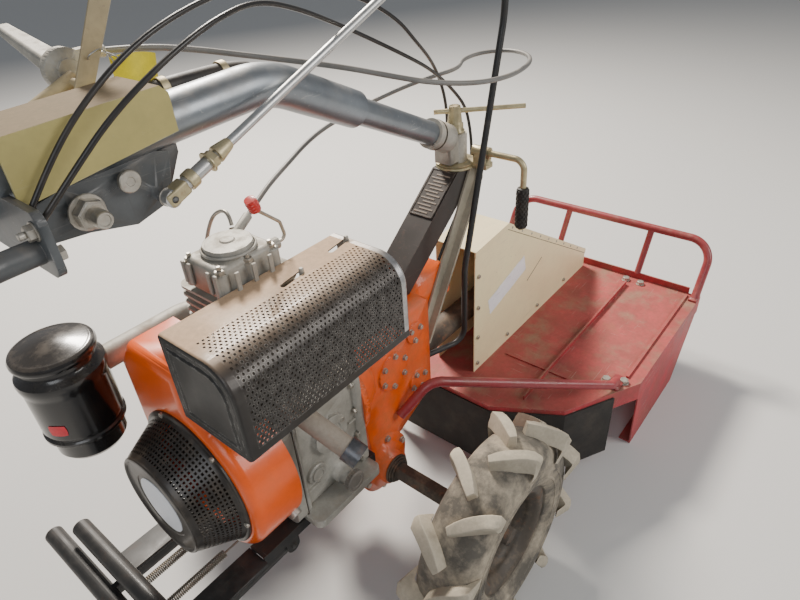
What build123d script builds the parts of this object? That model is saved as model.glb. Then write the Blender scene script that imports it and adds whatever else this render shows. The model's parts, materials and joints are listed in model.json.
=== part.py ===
# Walk-behind power tiller set up for front work, in millimetres.
# X points forward, from the operator to the mower deck. Y points left. Z points up.
# The origin is on the floor below the middle of the wheel axle.
import os
from math import degrees, hypot, pi, radians, tan
from build123d import *

os.makedirs("parts", exist_ok=True)

# Clearances
run_gap = 0.05        # radial play of a running fit
seat_gap = 0.3        # between curved faces that only lie against each other

# Wheels
tyre_r = 205.0
tyre_w = 104.0
lug_h = 24.0
lug_count = 10        # in each of a tyre's two rows
lug_slant = 38.0
rim_r = 101.0
rim_w = 76.0
rim_t = 4.0
wheel_y = 320.0       # middle of a wheel
axle_r = 15.0
axle_z = tyre_r

# Engine
crank_z = 434.0
sump_z = 300.0
foot_h = 14.0
case_rear_x = -213.0
case_front_x = -92.0
case_right_y = -98.0
case_left_y = 108.0
case_top_z = 545.0
engine_rear_x = -245.0
engine_front_x = -78.0
case_lip = 8.0        # the flanges stand this far round the crankcase
head_x_mid = -165.0
head_y_mid = 25.0
head_top_z = 705.0
fin_count = 12
fin_t = 4.0
fin_half_w = 56.0
rocker_h = 42.0
housing_rear_x = -328.0
housing_r = 134.0
housing_sheet = 2.5
cup_base_r = 110.0
cup_face_r = 82.0
cup_face_x = -396.0
cup_wall = 3.0
filter_x = -392.0
filter_y = 165.0
filter_bottom_z = 470.0
filter_r = 56.0
intake_z = 588.0
intake_r = 19.0
pipe_r = 16.0

# Muffler
muffler_rear_x = -330.0
muffler_front_x = -20.0
muffler_top_z = 716.0
muffler_low_z = 580.0
muffler_side_y = -170.0
muffler_inner_y = -34.0
muffler_corner_r = 46.0
muffler_sheet = 2.0
can_gap = 9.0
can_y = -101.0
can_z = 647.0
can_w = 110.0
can_h = 118.0

# Base frame, bumper and stand
rail_h = 20.0
rail_w = 34.0
rail_t = 4.0
rail_y = 80.0
rail_rear_x = -315.0
rail_front_x = -55.0
bumper_r = 15.0
bumper_x = -460.0
bumper_z = 288.0
bumper_half = 205.0
bumper_arm_w = 44.0
bumper_arm_t = 8.0
tube_wall = 2.5
stand_x = -492.0
stand_z = 256.0
stand_half = 262.0
stand_leg = 236.0     # from the pivot pin to the foot tube
stand_leg_h = 22.0
stand_leg_t = 8.0
ear_t = 5.0
pin_r = 5.0

# Gearbox
gear_rear_x = engine_front_x
gear_half_w = 60.0
gear_flange = 8.0
neck_half_w = 28.0
hub_y = 92.0

# Steering column and handlebar
column_half_w = 29.0
column_t = 5.0
head_x = 345.0
head_z = 726.0
plate_z = head_z - 34
socket_r = 27.0
stud_r = 8.0
lever_dx = 15.0
lever_z = 722.0
front_tube_r = 21.0
front_tube_wall = 3.0
rear_tube_r = 28.0
handle_rise = 26.5    # degrees, of the straight tube behind the clamp
step_x = 62.0
handle_level_z = 948.0
handle_end_x = -420.0
grip_x = -974.0
grip_z = 985.0
grip_half_y = 290.0
grip_len = 120.0
arm_r = 12.5

# Mower deck
sheet = 3.0
deck_z = 205.0
deck_right = -383.0
deck_left = 205.0
deck_front_x = 920.0
deck_rear_x = 250.0
deck_side_x = 505.0
lip_h = 18.0
skid_rear_x = 520.0
skid_front_x = 800.0
spindle_x = 615.0
spindle_y = 0.0
spindle_r = 12.0
spindle_hole = 28.0
rotor_r = 185.0
blade_z = 70.0
shaft_z = 330.0
guard_r = 10.5
guard_x = 978.0
guard_z = 335.0
guard_bend = 58.0
cover_right = -62.0
cover_left = 38.0
cover_sheet = 2.0


def save(part, label):
    part.label = label
    export_step(part, f"parts/{label}.step")


def bar(a, b, radius, wall=None):
    """Round bar, or a tube with its wall, from point a to point b."""
    line = Edge.make_line(a, b)
    start = Plane(origin=a, z_dir=line.tangent_at(0))
    solid = Solid.make_cylinder(radius, line.length, start)
    if wall is None:
        return solid
    return solid - Solid.make_cylinder(radius - wall, line.length, start)


def bent_tube(points, radii, radius, wall=None):
    """Bar or tube along straight runs joined by tangent bends."""
    with BuildLine() as path:
        FilletPolyline(*points, radius=radii)
    with BuildPart() as tube:
        for piece in path.edges():
            with BuildSketch(Plane(origin=piece @ 0, z_dir=piece % 0)):
                Circle(radius)
                if wall is not None:
                    Circle(radius - wall, mode=Mode.SUBTRACT)
            if piece.geom_type == GeomType.LINE:
                extrude(amount=piece.length)
            else:
                spin = (piece @ 0 - piece.arc_center).cross(piece % 0)
                bend = degrees(piece.length / piece.radius)
                revolve(axis=Axis(piece.arc_center, spin), revolution_arc=bend)
    return tube.part


# Crankcase with its bolted flanges, feet and oil filler
case_mid_x = (case_rear_x + case_front_x) / 2
with BuildPart() as engine_block:
    with BuildSketch(Plane.YZ.offset(engine_rear_x)) as case_face:
        with BuildLine():
            Polyline((case_right_y, sump_z + foot_h), (case_right_y, case_top_z - 45),
                     (-66, case_top_z), (95, case_top_z), (case_left_y, case_top_z - 15),
                     (case_left_y, sump_z + foot_h), close=True)
        make_face()
        fillet(case_face.vertices(), 12)
    extrude(amount=engine_front_x - engine_rear_x)
    # each flange: its rear face and its thickness
    for flange_x, flange_t in ((engine_rear_x, 20), (case_rear_x - 9, 6), (case_front_x, 14)):
        with BuildSketch(Plane.YZ.offset(flange_x)):
            add(case_face.sketch_local)
            offset(amount=case_lip)
        extrude(amount=flange_t)
    with BuildSketch(Plane.XY.offset(sump_z)):
        with Locations((case_mid_x, 0)):
            RectangleRounded(150, 2 * (case_left_y + 26), 12)
    extrude(amount=foot_h)
    with Locations((case_mid_x + 8, case_right_y, 342)):
        Cylinder(17, 36, rotation=(90, 0, 0))
        Cylinder(13, 74, rotation=(90, 0, 0))
    with Locations((case_mid_x, case_right_y, 440)):
        Cylinder(34, 16, rotation=(90, 0, 0))
save(engine_block.part, "engine_block")

# Cylinder with its cooling fins up to the head
cylinder_right_y = head_y_mid - fin_half_w
cylinder_left_y = head_y_mid + fin_half_w
fin_pitch = (head_top_z - case_top_z - 8) / fin_count
with BuildPart() as cylinder:
    with BuildSketch(Plane.XY.offset(case_top_z)):
        with Locations((head_x_mid, head_y_mid)):
            Rectangle(96, 92)
    extrude(amount=head_top_z - case_top_z)
    for i in range(fin_count):
        with BuildSketch(Plane.XY.offset(case_top_z + 8 + i * fin_pitch)):
            with Locations((head_x_mid, head_y_mid)):
                RectangleRounded(134, 2 * fin_half_w, 16)
        extrude(amount=fin_t)
save(cylinder.part, "cylinder")

# Rocker cover with its screw columns and round lid
rocker_x = head_x_mid - 12
rocker_y = head_y_mid - 12
throttle_stop = (-108.0, 55.0, 757.0)
with BuildPart() as rocker_cover:
    with BuildSketch(Plane.XY.offset(head_top_z)):
        with Locations((rocker_x, rocker_y)):
            RectangleRounded(104, 84, 20)
    extrude(amount=rocker_h, taper=4)
    fillet(rocker_cover.faces().sort_by(Axis.Z)[-1].edges(), 7)
    with BuildSketch(Plane.XY.offset(head_top_z)):
        with Locations((rocker_x, rocker_y)):
            with GridLocations(86, 66, 2, 2):
                Circle(11)
            with GridLocations(1, 72, 1, 2):
                Circle(9)
    extrude(amount=rocker_h - 9)
    with BuildSketch(Plane.XY.offset(head_top_z + rocker_h - 2)):
        with Locations((rocker_x, rocker_y)):
            Circle(36)
    extrude(amount=14, taper=8)
    with Locations((rocker_x + 46, rocker_y - 24, head_top_z + 30)):
        Cylinder(9, 34, rotation=(0, 90, 0))
    add(bar((-144, 40.6, 747.4), (-108.5, 54.8, 756.9), 7))
save(rocker_cover.part, "rocker_cover")

# Decompression lever with its knob, hooked in the rocker cover's front boss
knob_base = (-141.0, -15.0, 798.0)
knob_top = (-149.0, -17.0, 816.0)
hook_y = rocker_y - 24
hook_z = head_top_z + 30
decompress_points = ((rocker_x + 62, hook_y, hook_z), (rocker_x + 80, hook_y, hook_z),
                     (rocker_x + 74, hook_y, hook_z + 28), knob_base)
decompress_lever = bent_tube(decompress_points, [8, 8], 2.5) - rocker_cover.part
save(decompress_lever + bar(knob_base, knob_top, 8), "decompression_lever")

# Blower housing: sheet shroud round the flywheel, open towards the engine
starter_hole = 96.0
with BuildPart() as blower_housing:
    with BuildSketch(Plane.YZ.offset(housing_rear_x)):
        with Locations((0, crank_z)):
            Circle(housing_r)
        with BuildLine():
            Polyline((-110, 500), (-60, 556), (-26, 568), (-26, 640), (95, 640), (128, 600),
                     (128, 440), (-110, 440), close=True)
        make_face()
    extrude(amount=engine_rear_x - seat_gap - housing_rear_x)
    fillet(blower_housing.faces().sort_by(Axis.X)[0].edges(), 16)
    offset(amount=-housing_sheet, openings=blower_housing.faces().sort_by(Axis.X)[-1])
    with BuildSketch(Plane.YZ.offset(housing_rear_x)):
        with Locations((0, crank_z)):
            Circle(starter_hole)
    extrude(amount=housing_sheet, mode=Mode.SUBTRACT)
save(blower_housing.part, "blower_housing")

# Flywheel with its fan blades, seen through the starter's holes
fly_r = 84.0
with BuildPart() as flywheel:
    with BuildSketch(Plane.YZ.offset(housing_rear_x + 14)):
        with Locations((0, crank_z)):
            Circle(fly_r)
    extrude(amount=34)
    with BuildSketch(Plane.YZ.offset(housing_rear_x)):
        with Locations((0, crank_z)):
            with PolarLocations(fly_r - 16, 12):
                Rectangle(30, 4)
    extrude(amount=14)
    with BuildSketch(Plane.YZ.offset(housing_rear_x + 48)):
        with Locations((0, crank_z)):
            Circle(22)
    extrude(until=Until.NEXT, target=engine_block.part)
save(flywheel.part, "flywheel")

# Recoil starter: conical cup with four rings of square air holes and a dished face
hole_rows = 4
hole_count = 20
cup_seat_x = housing_rear_x - seat_gap
cup_slope = (cup_base_r - cup_face_r) / (cup_seat_x - cup_face_x)
with BuildPart() as recoil_starter:
    with BuildSketch(Plane.XZ):
        with BuildLine():
            Polyline((cup_face_x + 3, 0), (cup_face_x + 3, 52), (cup_face_x, 55),
                     (cup_face_x, cup_face_r - 8), (cup_face_x + 8, cup_face_r),
                     (cup_seat_x - 5, cup_base_r), (cup_seat_x - 5, cup_base_r + 8),
                     (cup_seat_x, cup_base_r + 8), (cup_seat_x, cup_base_r - cup_wall),
                     (cup_face_x + 8, cup_face_r - cup_wall), (cup_face_x + 3 + cup_wall, cup_face_r - 12),
                     (cup_face_x + 3 + cup_wall, 0), close=True)
        make_face()
    revolve(axis=Axis.X)
    for row in range(hole_rows):
        row_x = cup_face_x + 20 + row * 12
        row_r = cup_face_r + (row_x - cup_face_x) * cup_slope
        with Locations(Plane.YZ.offset(row_x).location):
            with PolarLocations(row_r, hole_count, start_angle=row % 2 * 180 / hole_count):
                Box(14, 7, 6, mode=Mode.SUBTRACT)
recoil_part = recoil_starter.part.moved(Location((0, 0, crank_z)))
save(recoil_part, "recoil_starter")

# Muffler cover: folded over the top and the right side, with closed ends and two slots
def cover_face(inset):
    """The cover's outline across the engine, drawn in by the given depth below the top and the side."""
    inner_y = muffler_inner_y + inset
    outer_y = muffler_side_y + inset
    top_z = muffler_top_z - inset
    low_z = muffler_low_z - inset
    with BuildSketch(Plane.YZ) as face:
        with BuildLine():
            Polyline((inner_y, top_z), (outer_y, top_z), (outer_y, low_z), (inner_y, low_z), close=True)
        make_face()
        fillet(face.vertices().group_by(Axis.X)[0].sort_by(Axis.Y)[-1], muffler_corner_r - inset)
    return face.sketch_local


def on_fold(edge):
    """True for the edges along the top and the side of the cover's end."""
    return edge.center().Z > muffler_low_z + 1 and edge.center().Y < muffler_inner_y - 1


with BuildPart() as muffler_cover:
    with BuildSketch(Plane.YZ.offset(muffler_rear_x)):
        add(cover_face(0))
    extrude(amount=muffler_front_x - muffler_rear_x)
    fillet(muffler_cover.faces().sort_by(Axis.X)[0].edges().filter_by(on_fold), 5)
    fillet(muffler_cover.faces().sort_by(Axis.X)[-1].edges().filter_by(on_fold), 5)
    with BuildSketch(Plane.YZ.offset(muffler_rear_x + muffler_sheet)):
        add(cover_face(muffler_sheet))
    extrude(amount=muffler_front_x - muffler_rear_x - 2 * muffler_sheet, mode=Mode.SUBTRACT)
    with BuildSketch(Plane.XY.offset(muffler_top_z - muffler_sheet)):
        with Locations((-150, -78), (-48, -66)):
            SlotOverall(46, 9, rotation=8)
    extrude(amount=muffler_sheet, mode=Mode.SUBTRACT)
save(muffler_cover.part, "muffler_cover")

# Muffler can with its flange on the head and the posts that hold the cover
with BuildPart() as muffler:
    with BuildSketch(Plane.YZ.offset(muffler_rear_x + can_gap)) as can_face:
        with Locations((can_y, can_z)):
            RectangleRounded(can_w, can_h, 40)
    extrude(amount=muffler_front_x - muffler_rear_x - 2 * can_gap)
    for post_x in (-280, -70):
        with Locations((post_x, can_y, (can_z + muffler_top_z - muffler_sheet) / 2)):
            Cylinder(5, muffler_top_z - muffler_sheet - can_z)
        with Locations((post_x, (can_y + muffler_side_y + muffler_sheet) / 2, can_z - 8)):
            Cylinder(5, can_y - muffler_side_y - muffler_sheet, rotation=(90, 0, 0))
    with BuildSketch(Plane.YZ.offset(muffler_rear_x + can_gap + muffler_sheet)):
        add(can_face.sketch_local)
        offset(amount=-muffler_sheet)
    extrude(amount=muffler_front_x - muffler_rear_x - 2 * can_gap - 2 * muffler_sheet, mode=Mode.SUBTRACT)
    with BuildSketch(Plane.XZ.offset(-cylinder_right_y)):
        with Locations((head_x_mid, can_z)):
            RectangleRounded(72, 46, 10)
    extrude(amount=7)
    with Locations((head_x_mid, (cylinder_right_y + can_y + can_w / 2) / 2, can_z)):
        Cylinder(19, cylinder_right_y - can_y - can_w / 2, rotation=(90, 0, 0))
save(muffler.part, "muffler")

# Exhaust pipe from under the can, out to the right and down, with its end collar
exhaust_end = (-188.0, -206.0, 484.0)
exhaust_points = ((-214, can_y, can_z - can_h / 2 - seat_gap), (-214, can_y, 545), exhaust_end)
exhaust_pipe = bent_tube(exhaust_points, [24], pipe_r, 2.0)
collar_a = (-192.9, -186.1, 495.6)
exhaust_pipe = exhaust_pipe + bar(collar_a, exhaust_end, pipe_r + 2.5, 3.0)
save(exhaust_pipe, "exhaust_pipe")

# Air filter: oil bowl, body and lid in one turned outline
# each step of the outline: radius and height above the bowl's bottom
filter_outline = ((44, 0), (50, 6), (50, 36), (54, 39), (54, 48), (filter_r, 52), (filter_r, 142), (60, 147),
                  (61.5, 151), (61.5, 160), (57, 166), (46, 182), (20, 191), (0, 192))
filter_axis = Plane(origin=(filter_x, filter_y, filter_bottom_z), x_dir=(1, 0, 0), z_dir=(0, -1, 0))
with BuildPart() as air_filter:
    with BuildSketch(filter_axis):
        with BuildLine():
            Polyline((0, 0), *filter_outline, close=True)
        make_face()
    revolve(axis=Axis((filter_x, filter_y, 0), (0, 0, 1)))
save(air_filter.part, "air_filter")

# Intake pipe from the left of the head, round the housing to the filter
intake_points = ((head_x_mid, cylinder_left_y, intake_z), (head_x_mid, filter_y, intake_z),
                 (filter_x + 50, filter_y, intake_z))
intake_pipe = bent_tube(intake_points, [44], intake_r, 3.0)
with BuildPart() as intake_flange:
    with BuildSketch(Plane.XZ.offset(-cylinder_left_y)):
        with Locations((head_x_mid, intake_z)):
            RectangleRounded(66, 46, 10)
            Circle(intake_r - 3, mode=Mode.SUBTRACT)
    extrude(amount=-8)
filter_room = Solid.make_cylinder(filter_r + seat_gap, 60, Plane(origin=(filter_x, filter_y, 560)))
intake_pipe = intake_pipe + intake_flange.part - filter_room
save(intake_pipe, "intake_elbow")

# Base frame: two rails of folded sheet under the engine, joined across, with the ears of the stand's pin
stand_pivot_x = stand_x + stand_leg
rail_len = rail_front_x - rail_rear_x
with BuildPart() as base_frame:
    for y_rail in (-rail_y, rail_y):
        with BuildSketch(Plane.YZ.offset(rail_rear_x)):
            with Locations((y_rail, sump_z - rail_h / 2)):
                Rectangle(rail_w, rail_h)
            with Locations((y_rail, sump_z - rail_h / 2 - rail_t)):
                Rectangle(rail_w - 2 * rail_t, rail_h, mode=Mode.SUBTRACT)
        extrude(amount=rail_len)
    with BuildSketch(Plane.XY.offset(sump_z - rail_t)):
        with Locations((rail_front_x - 35, 0), (rail_rear_x + 30, 0)):
            Rectangle(30, 2 * rail_y)
    extrude(amount=rail_t)
    for y_rail in (-rail_y, rail_y):
        for face in (-1, 1):
            ear_y = y_rail + face * (stand_leg_t / 2 + 1 + ear_t / 2)
            with BuildSketch(Plane.XZ.offset(-ear_y - ear_t / 2)):
                with Locations((stand_pivot_x, (stand_z + sump_z - rail_t) / 2)):
                    Rectangle(26, sump_z - rail_t - stand_z)
                with Locations((stand_pivot_x, stand_z)):
                    Circle(13)
                    Circle(pin_r + run_gap, mode=Mode.SUBTRACT)
            extrude(amount=ear_t)
save(base_frame.part, "base_frame")

# Bumper: tube across the rear on two flat arms from the rails
with BuildPart() as bumper:
    with Locations((bumper_x, 0, bumper_z)):
        Cylinder(bumper_r, 2 * bumper_half, rotation=(90, 0, 0))
    with BuildSketch(Plane.XY.offset(bumper_z - bumper_arm_t / 2)):
        with Locations(((bumper_x + rail_rear_x) / 2, rail_y), ((bumper_x + rail_rear_x) / 2, -rail_y)):
            Rectangle(rail_rear_x - bumper_x, bumper_arm_w)
    extrude(amount=bumper_arm_t)
    with Locations((bumper_x, 0, bumper_z)):
        Cylinder(bumper_r - tube_wall, 2 * bumper_half, rotation=(90, 0, 0), mode=Mode.SUBTRACT)
save(bumper.part, "bumper")

# Folding stand: foot tube on two flat legs that turn about pins in the ears
stand_r = bumper_r
with BuildPart() as stand:
    for side in (-1, 1):
        with BuildSketch(Plane.XZ.offset(-side * rail_y - stand_leg_t / 2)):
            with Locations(((stand_x + stand_pivot_x) / 2, stand_z)):
                SlotOverall(stand_leg + stand_leg_h, stand_leg_h)
        extrude(amount=stand_leg_t)
        with Locations((stand_pivot_x, side * rail_y, stand_z)):
            Cylinder(pin_r, stand_leg_t + 2 + 2 * ear_t + 4, rotation=(90, 0, 0))
    with Locations((stand_x, 0, stand_z)):
        Cylinder(stand_r, 2 * stand_half, rotation=(90, 0, 0))
        Cylinder(stand_r - tube_wall, 2 * stand_half, rotation=(90, 0, 0), mode=Mode.SUBTRACT)
save(stand.part, "stand")

# Gearbox: bell housing, case in two halves with a bolted flange between them, bosses and neck
bell_len = 60.0
case_floor_z = 232.0
case_roof_z = 508.0
case_nose_x = 168.0
boss_r = 9.0
# corners of the case's outline and bolts round its flange: x, z
case_corners = ((gear_rear_x + 40, 340), (gear_rear_x + 40, case_roof_z), (case_nose_x, case_roof_z),
                (case_nose_x, 280), (60, case_floor_z), (-30, case_floor_z))
flange_bolts = ((-44, 352), (-44, 500), (60, 514), (160, 514), (174, 440), (174, 350), (118, 252), (-8, 252))
with BuildPart() as gearbox:
    with BuildSketch(Plane.YZ.offset(gear_rear_x)):
        with Locations((0, crank_z)):
            Circle(112)
    extrude(amount=12)
    with BuildSketch(Plane.YZ.offset(gear_rear_x + 12)):
        with Locations((0, crank_z)):
            Circle(102)
    with BuildSketch(Plane.YZ.offset(gear_rear_x + bell_len)):
        with Locations((0, crank_z - 6)):
            Circle(80)
    loft()
    with BuildSketch(Plane.XZ) as case_outline:
        with BuildLine():
            Polyline(*case_corners, close=True)
        make_face()
        fillet(case_outline.vertices(), 14)
    extrude(amount=gear_half_w, both=True, taper=3)
    with BuildSketch(Plane.XZ.offset(-7)):
        add(case_outline.sketch_local)
        offset(amount=gear_flange)
        with Locations(*flange_bolts):
            Circle(boss_r)
    extrude(amount=14)
    with BuildSketch(Plane.XZ.offset(-neck_half_w)):
        with BuildLine():
            Polyline((150, 508), (190, 508), (250, 528), (280, 505), (280, 445), (150, 430), close=True)
        make_face()
    extrude(amount=2 * neck_half_w)
    # bearing bosses on both sides: x, z, radius
    for boss_x, boss_z, round_r in ((52, 402, 40), (122, 330, 26), (118, 450, 22)):
        with Locations((boss_x, 0, boss_z)):
            Cylinder(round_r, 2 * gear_half_w + 8, rotation=(90, 0, 0))
    with BuildSketch(Plane.XZ.offset(-gear_half_w)):
        with BuildLine():
            Polyline((20, 300), (28, 300), (92, 448), (84, 448), close=True)
        make_face()
    extrude(amount=2 * gear_half_w)
    with Locations((0, 0, axle_z)):
        Cylinder(64, 2 * 66, rotation=(90, 0, 0))
        Cylinder(48, 2 * 78, rotation=(90, 0, 0))
        Cylinder(34, 2 * hub_y, rotation=(90, 0, 0))
        Cylinder(axle_r + 3 + run_gap, 2 * hub_y, rotation=(90, 0, 0), mode=Mode.SUBTRACT)
save(gearbox.part, "gearbox")

# Wheels: hexagonal axle with its hub, drop-centre rim and lugged tyre on each side
hub_r = 27.0
hub_plate_r = 52.0
hub_plate_t = 6.0
lug_top_w = 19.0
lug_len = 66.0
lug_reach = 63.0      # from the wheel's middle to a lug's outer end
lug_splay = 8.0       # degrees that a lug's sides lean
carcass_r = tyre_r - lug_h
with BuildPart() as lug:
    with BuildSketch():
        Rectangle(lug_top_w, lug_len)
    extrude(amount=lug_h + 16, taper=-lug_splay)
for label, side in (("right", -1), ("left", 1)):
    centre = side * wheel_y
    with BuildPart() as axle:
        with BuildSketch(Plane.XZ.offset(-side * (hub_y + 1))):
            with Locations((0, axle_z)):
                RegularPolygon(axle_r + 1, 6, major_radius=False)
        extrude(amount=-side * (wheel_y + 30 - hub_y))
        with Locations((0, side * (hub_y - 30), axle_z)):
            Cylinder(axle_r + 3, 66, rotation=(90, 0, 0))
        with Locations((0, side * (wheel_y - 22), axle_z)):
            Cylinder(hub_r, 76, rotation=(90, 0, 0))
        with Locations((0, centre - side * (rim_t / 2 + hub_plate_t / 2), axle_z)):
            Cylinder(hub_plate_r, hub_plate_t, rotation=(90, 0, 0))
    save(axle.part, f"axle_{label}")
    rim_top_z = axle_z + rim_r
    with BuildPart() as rim:
        with BuildSketch(Plane.YZ):
            with BuildLine():
                Polyline((centre - rim_w / 2, rim_top_z), (centre - rim_w / 2, rim_top_z - 12),
                         (centre - 20, rim_top_z - 26), (centre - rim_t / 2, rim_top_z - 26),
                         (centre - rim_t / 2, axle_z + hub_r + run_gap),
                         (centre + rim_t / 2, axle_z + hub_r + run_gap),
                         (centre + rim_t / 2, rim_top_z - 26), (centre + 20, rim_top_z - 26),
                         (centre + rim_w / 2, rim_top_z - 12), (centre + rim_w / 2, rim_top_z),
                         (centre + rim_w / 2 - rim_t, rim_top_z), (centre + rim_w / 2 - rim_t, rim_top_z - 9),
                         (centre + 18, rim_top_z - 22), (centre - 18, rim_top_z - 22),
                         (centre - rim_w / 2 + rim_t, rim_top_z - 9), (centre - rim_w / 2 + rim_t, rim_top_z),
                         close=True)
            make_face()
        revolve(axis=Axis((0, 0, axle_z), (0, 1, 0)))
    save(rim.part, f"rim_{label}")
    bead_z = rim_top_z + seat_gap
    shoulder_z = axle_z + carcass_r - 22
    with BuildPart() as tyre:
        with BuildSketch(Plane.YZ):
            with BuildLine():
                Polyline((centre - rim_w / 2, bead_z), (centre - tyre_w / 2, rim_top_z + 34),
                         (centre - tyre_w / 2 + 2, shoulder_z), (centre - 26, axle_z + carcass_r),
                         (centre + 26, axle_z + carcass_r), (centre + tyre_w / 2 - 2, shoulder_z),
                         (centre + tyre_w / 2, rim_top_z + 34), (centre + rim_w / 2, bead_z), close=True)
            make_face()
        revolve(axis=Axis((0, 0, axle_z), (0, 1, 0)))
    lugs = []
    for i in range(lug_count):
        for half in (-1, 1):
            turn = 360 / lug_count * (i + (0.5 if half > 0 else 0))
            place = Location((0, centre, axle_z)) * Location((0, 0, 0), (0, turn, 0))
            place = place * Location((0, half * 30, -tyre_r), (0, 0, half * lug_slant))
            lugs.append(lug.part.moved(place))
    with BuildPart() as envelope:
        with BuildSketch(Plane.YZ):
            with BuildLine():
                Polyline((centre - lug_reach, axle_z), (centre - lug_reach, axle_z + tyre_r - 12),
                         (centre - lug_reach + 8, axle_z + tyre_r),
                         (centre + lug_reach - 8, axle_z + tyre_r),
                         (centre + lug_reach, axle_z + tyre_r - 12), (centre + lug_reach, axle_z), close=True)
            make_face()
        revolve(axis=Axis((0, 0, axle_z), (0, 1, 0)))
    save((tyre.part + lugs) & envelope.part, f"tyre_{label}")

# Column: folded channel from the gearbox up to the clamp head, open to the front
column_foot_x = 70.0
column_top_x = head_x - 34
plate_t = 10.0
web_shift = column_t * hypot(column_top_x - column_foot_x, plate_z - case_roof_z) / (plate_z - case_roof_z)
with BuildPart() as column:
    with BuildSketch(Plane.XZ.offset(-column_half_w)):
        with BuildLine():
            Polyline((column_foot_x, case_roof_z), (150, case_roof_z), (head_x + 20, plate_z - 26),
                     (head_x + 28, plate_z), (column_top_x, plate_z), close=True)
        make_face()
    extrude(amount=2 * column_half_w)
    with BuildSketch(Plane.XZ.offset(-column_half_w + column_t)):
        with BuildLine():
            Polyline((column_foot_x + web_shift, case_roof_z), (head_x + 60, case_roof_z),
                     (head_x + 60, plate_z - column_t),
                     (column_top_x + web_shift - column_t, plate_z - column_t), close=True)
        make_face()
    extrude(amount=2 * (column_half_w - column_t), mode=Mode.SUBTRACT)
save(column.part - gearbox.part, "column")

# Struts: two angle bars from the front of the gearbox up to the head, beside the column
strut_t = 4.0
strut_flange = 18.0
strut_y = column_half_w + seat_gap
with BuildPart() as struts:
    for side in (-1, 1):
        with BuildSketch(Plane.XZ.offset(-side * strut_y)):
            with BuildLine():
                Polyline((case_nose_x + gear_flange + seat_gap, 375), (case_nose_x + 18, 375),
                         (head_x + 26, plate_z - 26), (head_x + 26, plate_z), (head_x + 4, plate_z),
                         (case_nose_x + gear_flange + seat_gap, 405), close=True)
            make_face()
        extrude(amount=-side * strut_flange)
        with BuildSketch(Plane.XZ.offset(-side * (strut_y + strut_t))):
            with BuildLine():
                Polyline((case_nose_x - 10, 382), (case_nose_x + 15, 382),
                         (head_x + 26 - strut_t, plate_z - 22), (head_x + 26 - strut_t, plate_z + 10),
                         (case_nose_x - 10, plate_z + 10), close=True)
            make_face()
        extrude(amount=-side * strut_flange, mode=Mode.SUBTRACT)
save(struts.part, "column_struts")

# Clamp head: swivel plate with its ring groove, stud and the saddle of the lever
saddle_y = -52.0
with BuildPart() as clamp_head:
    with BuildSketch(Plane.XY.offset(plate_z)):
        with Locations((head_x, 0)):
            Circle(38)
        with Locations((head_x + lever_dx, -38)):
            Rectangle(24, 60)
    extrude(amount=plate_t)
    with BuildSketch(Plane.XY.offset(plate_z + 4)):
        with Locations((head_x, 0)):
            Circle(40)
            Circle(35.5, mode=Mode.SUBTRACT)
        with Locations((head_x + lever_dx, -38)):
            Rectangle(24, 60, mode=Mode.SUBTRACT)
    extrude(amount=2.5, mode=Mode.SUBTRACT)
    with BuildSketch(Plane.XY.offset(plate_z + plate_t)):
        with Locations((head_x, 0)):
            Circle(stud_r)
    extrude(amount=84)
    with BuildSketch(Plane.XY.offset(plate_z + plate_t)):
        with Locations((head_x + lever_dx, saddle_y)):
            RectangleRounded(22, 30, 3)
    extrude(amount=lever_z - plate_z - plate_t)
    with Locations((head_x + lever_dx, saddle_y, lever_z)):
        Cylinder(11 + seat_gap, 31, rotation=(90, 0, 0), mode=Mode.SUBTRACT)
save(clamp_head.part, "clamp_head")

# Clamp nut: washer, tapered nut and the bar through its top
nut_z = plate_z + 66
t_bar_z = plate_z + 104
t_bar_start = (head_x - 26, 29, t_bar_z)
t_bar_end = (head_x + 88, -98, t_bar_z)
with BuildPart() as clamp_nut:
    with BuildSketch(Plane.XY.offset(nut_z)):
        with Locations((head_x, 0)):
            Circle(18)
    extrude(amount=3)
    with BuildSketch(Plane.XY.offset(nut_z + 3)):
        with Locations((head_x, 0)):
            RegularPolygon(16, 6)
    extrude(amount=13)
    with BuildSketch(Plane.XY.offset(nut_z + 16)):
        with Locations((head_x, 0)):
            Circle(14)
    extrude(amount=32, taper=6)
    fillet(clamp_nut.faces().sort_by(Axis.Z)[-1].edges(), 2)
    add(bar(t_bar_start, t_bar_end, 4.5))
    with Locations((head_x, 0, plate_z + 50)):
        Cylinder(stud_r + run_gap, 100, mode=Mode.SUBTRACT)
save(clamp_nut.part, "clamp_t_bolt")

# Locking lever: barrel in the saddle, bent rod and its ribbed grip
lever_x = head_x + lever_dx
lever_reach_y = -142.0
lever_low_z = 585.0
lever_points = ((lever_x, -30, lever_z), (lever_x, lever_reach_y, lever_z),
                (lever_x, lever_reach_y, lever_low_z))
lever_barrel = bar((lever_x, -33, lever_z), (lever_x, -68, lever_z), 11)
save(bent_tube(lever_points, [20], 6) + lever_barrel, "clamp_lever")
with BuildPart() as lever_grip:
    with Locations((lever_x, lever_reach_y, lever_low_z + 44)):
        Cylinder(10.5, 82)
    for i in range(7):
        with Locations((lever_x, lever_reach_y, lever_low_z + 11 + i * 11)):
            Cylinder(12.5, 5)
    with Locations((lever_x, lever_reach_y, lever_low_z + 44)):
        Cylinder(6 + run_gap, 120, mode=Mode.SUBTRACT)
save(lever_grip.part, "clamp_lever_grip")

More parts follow.
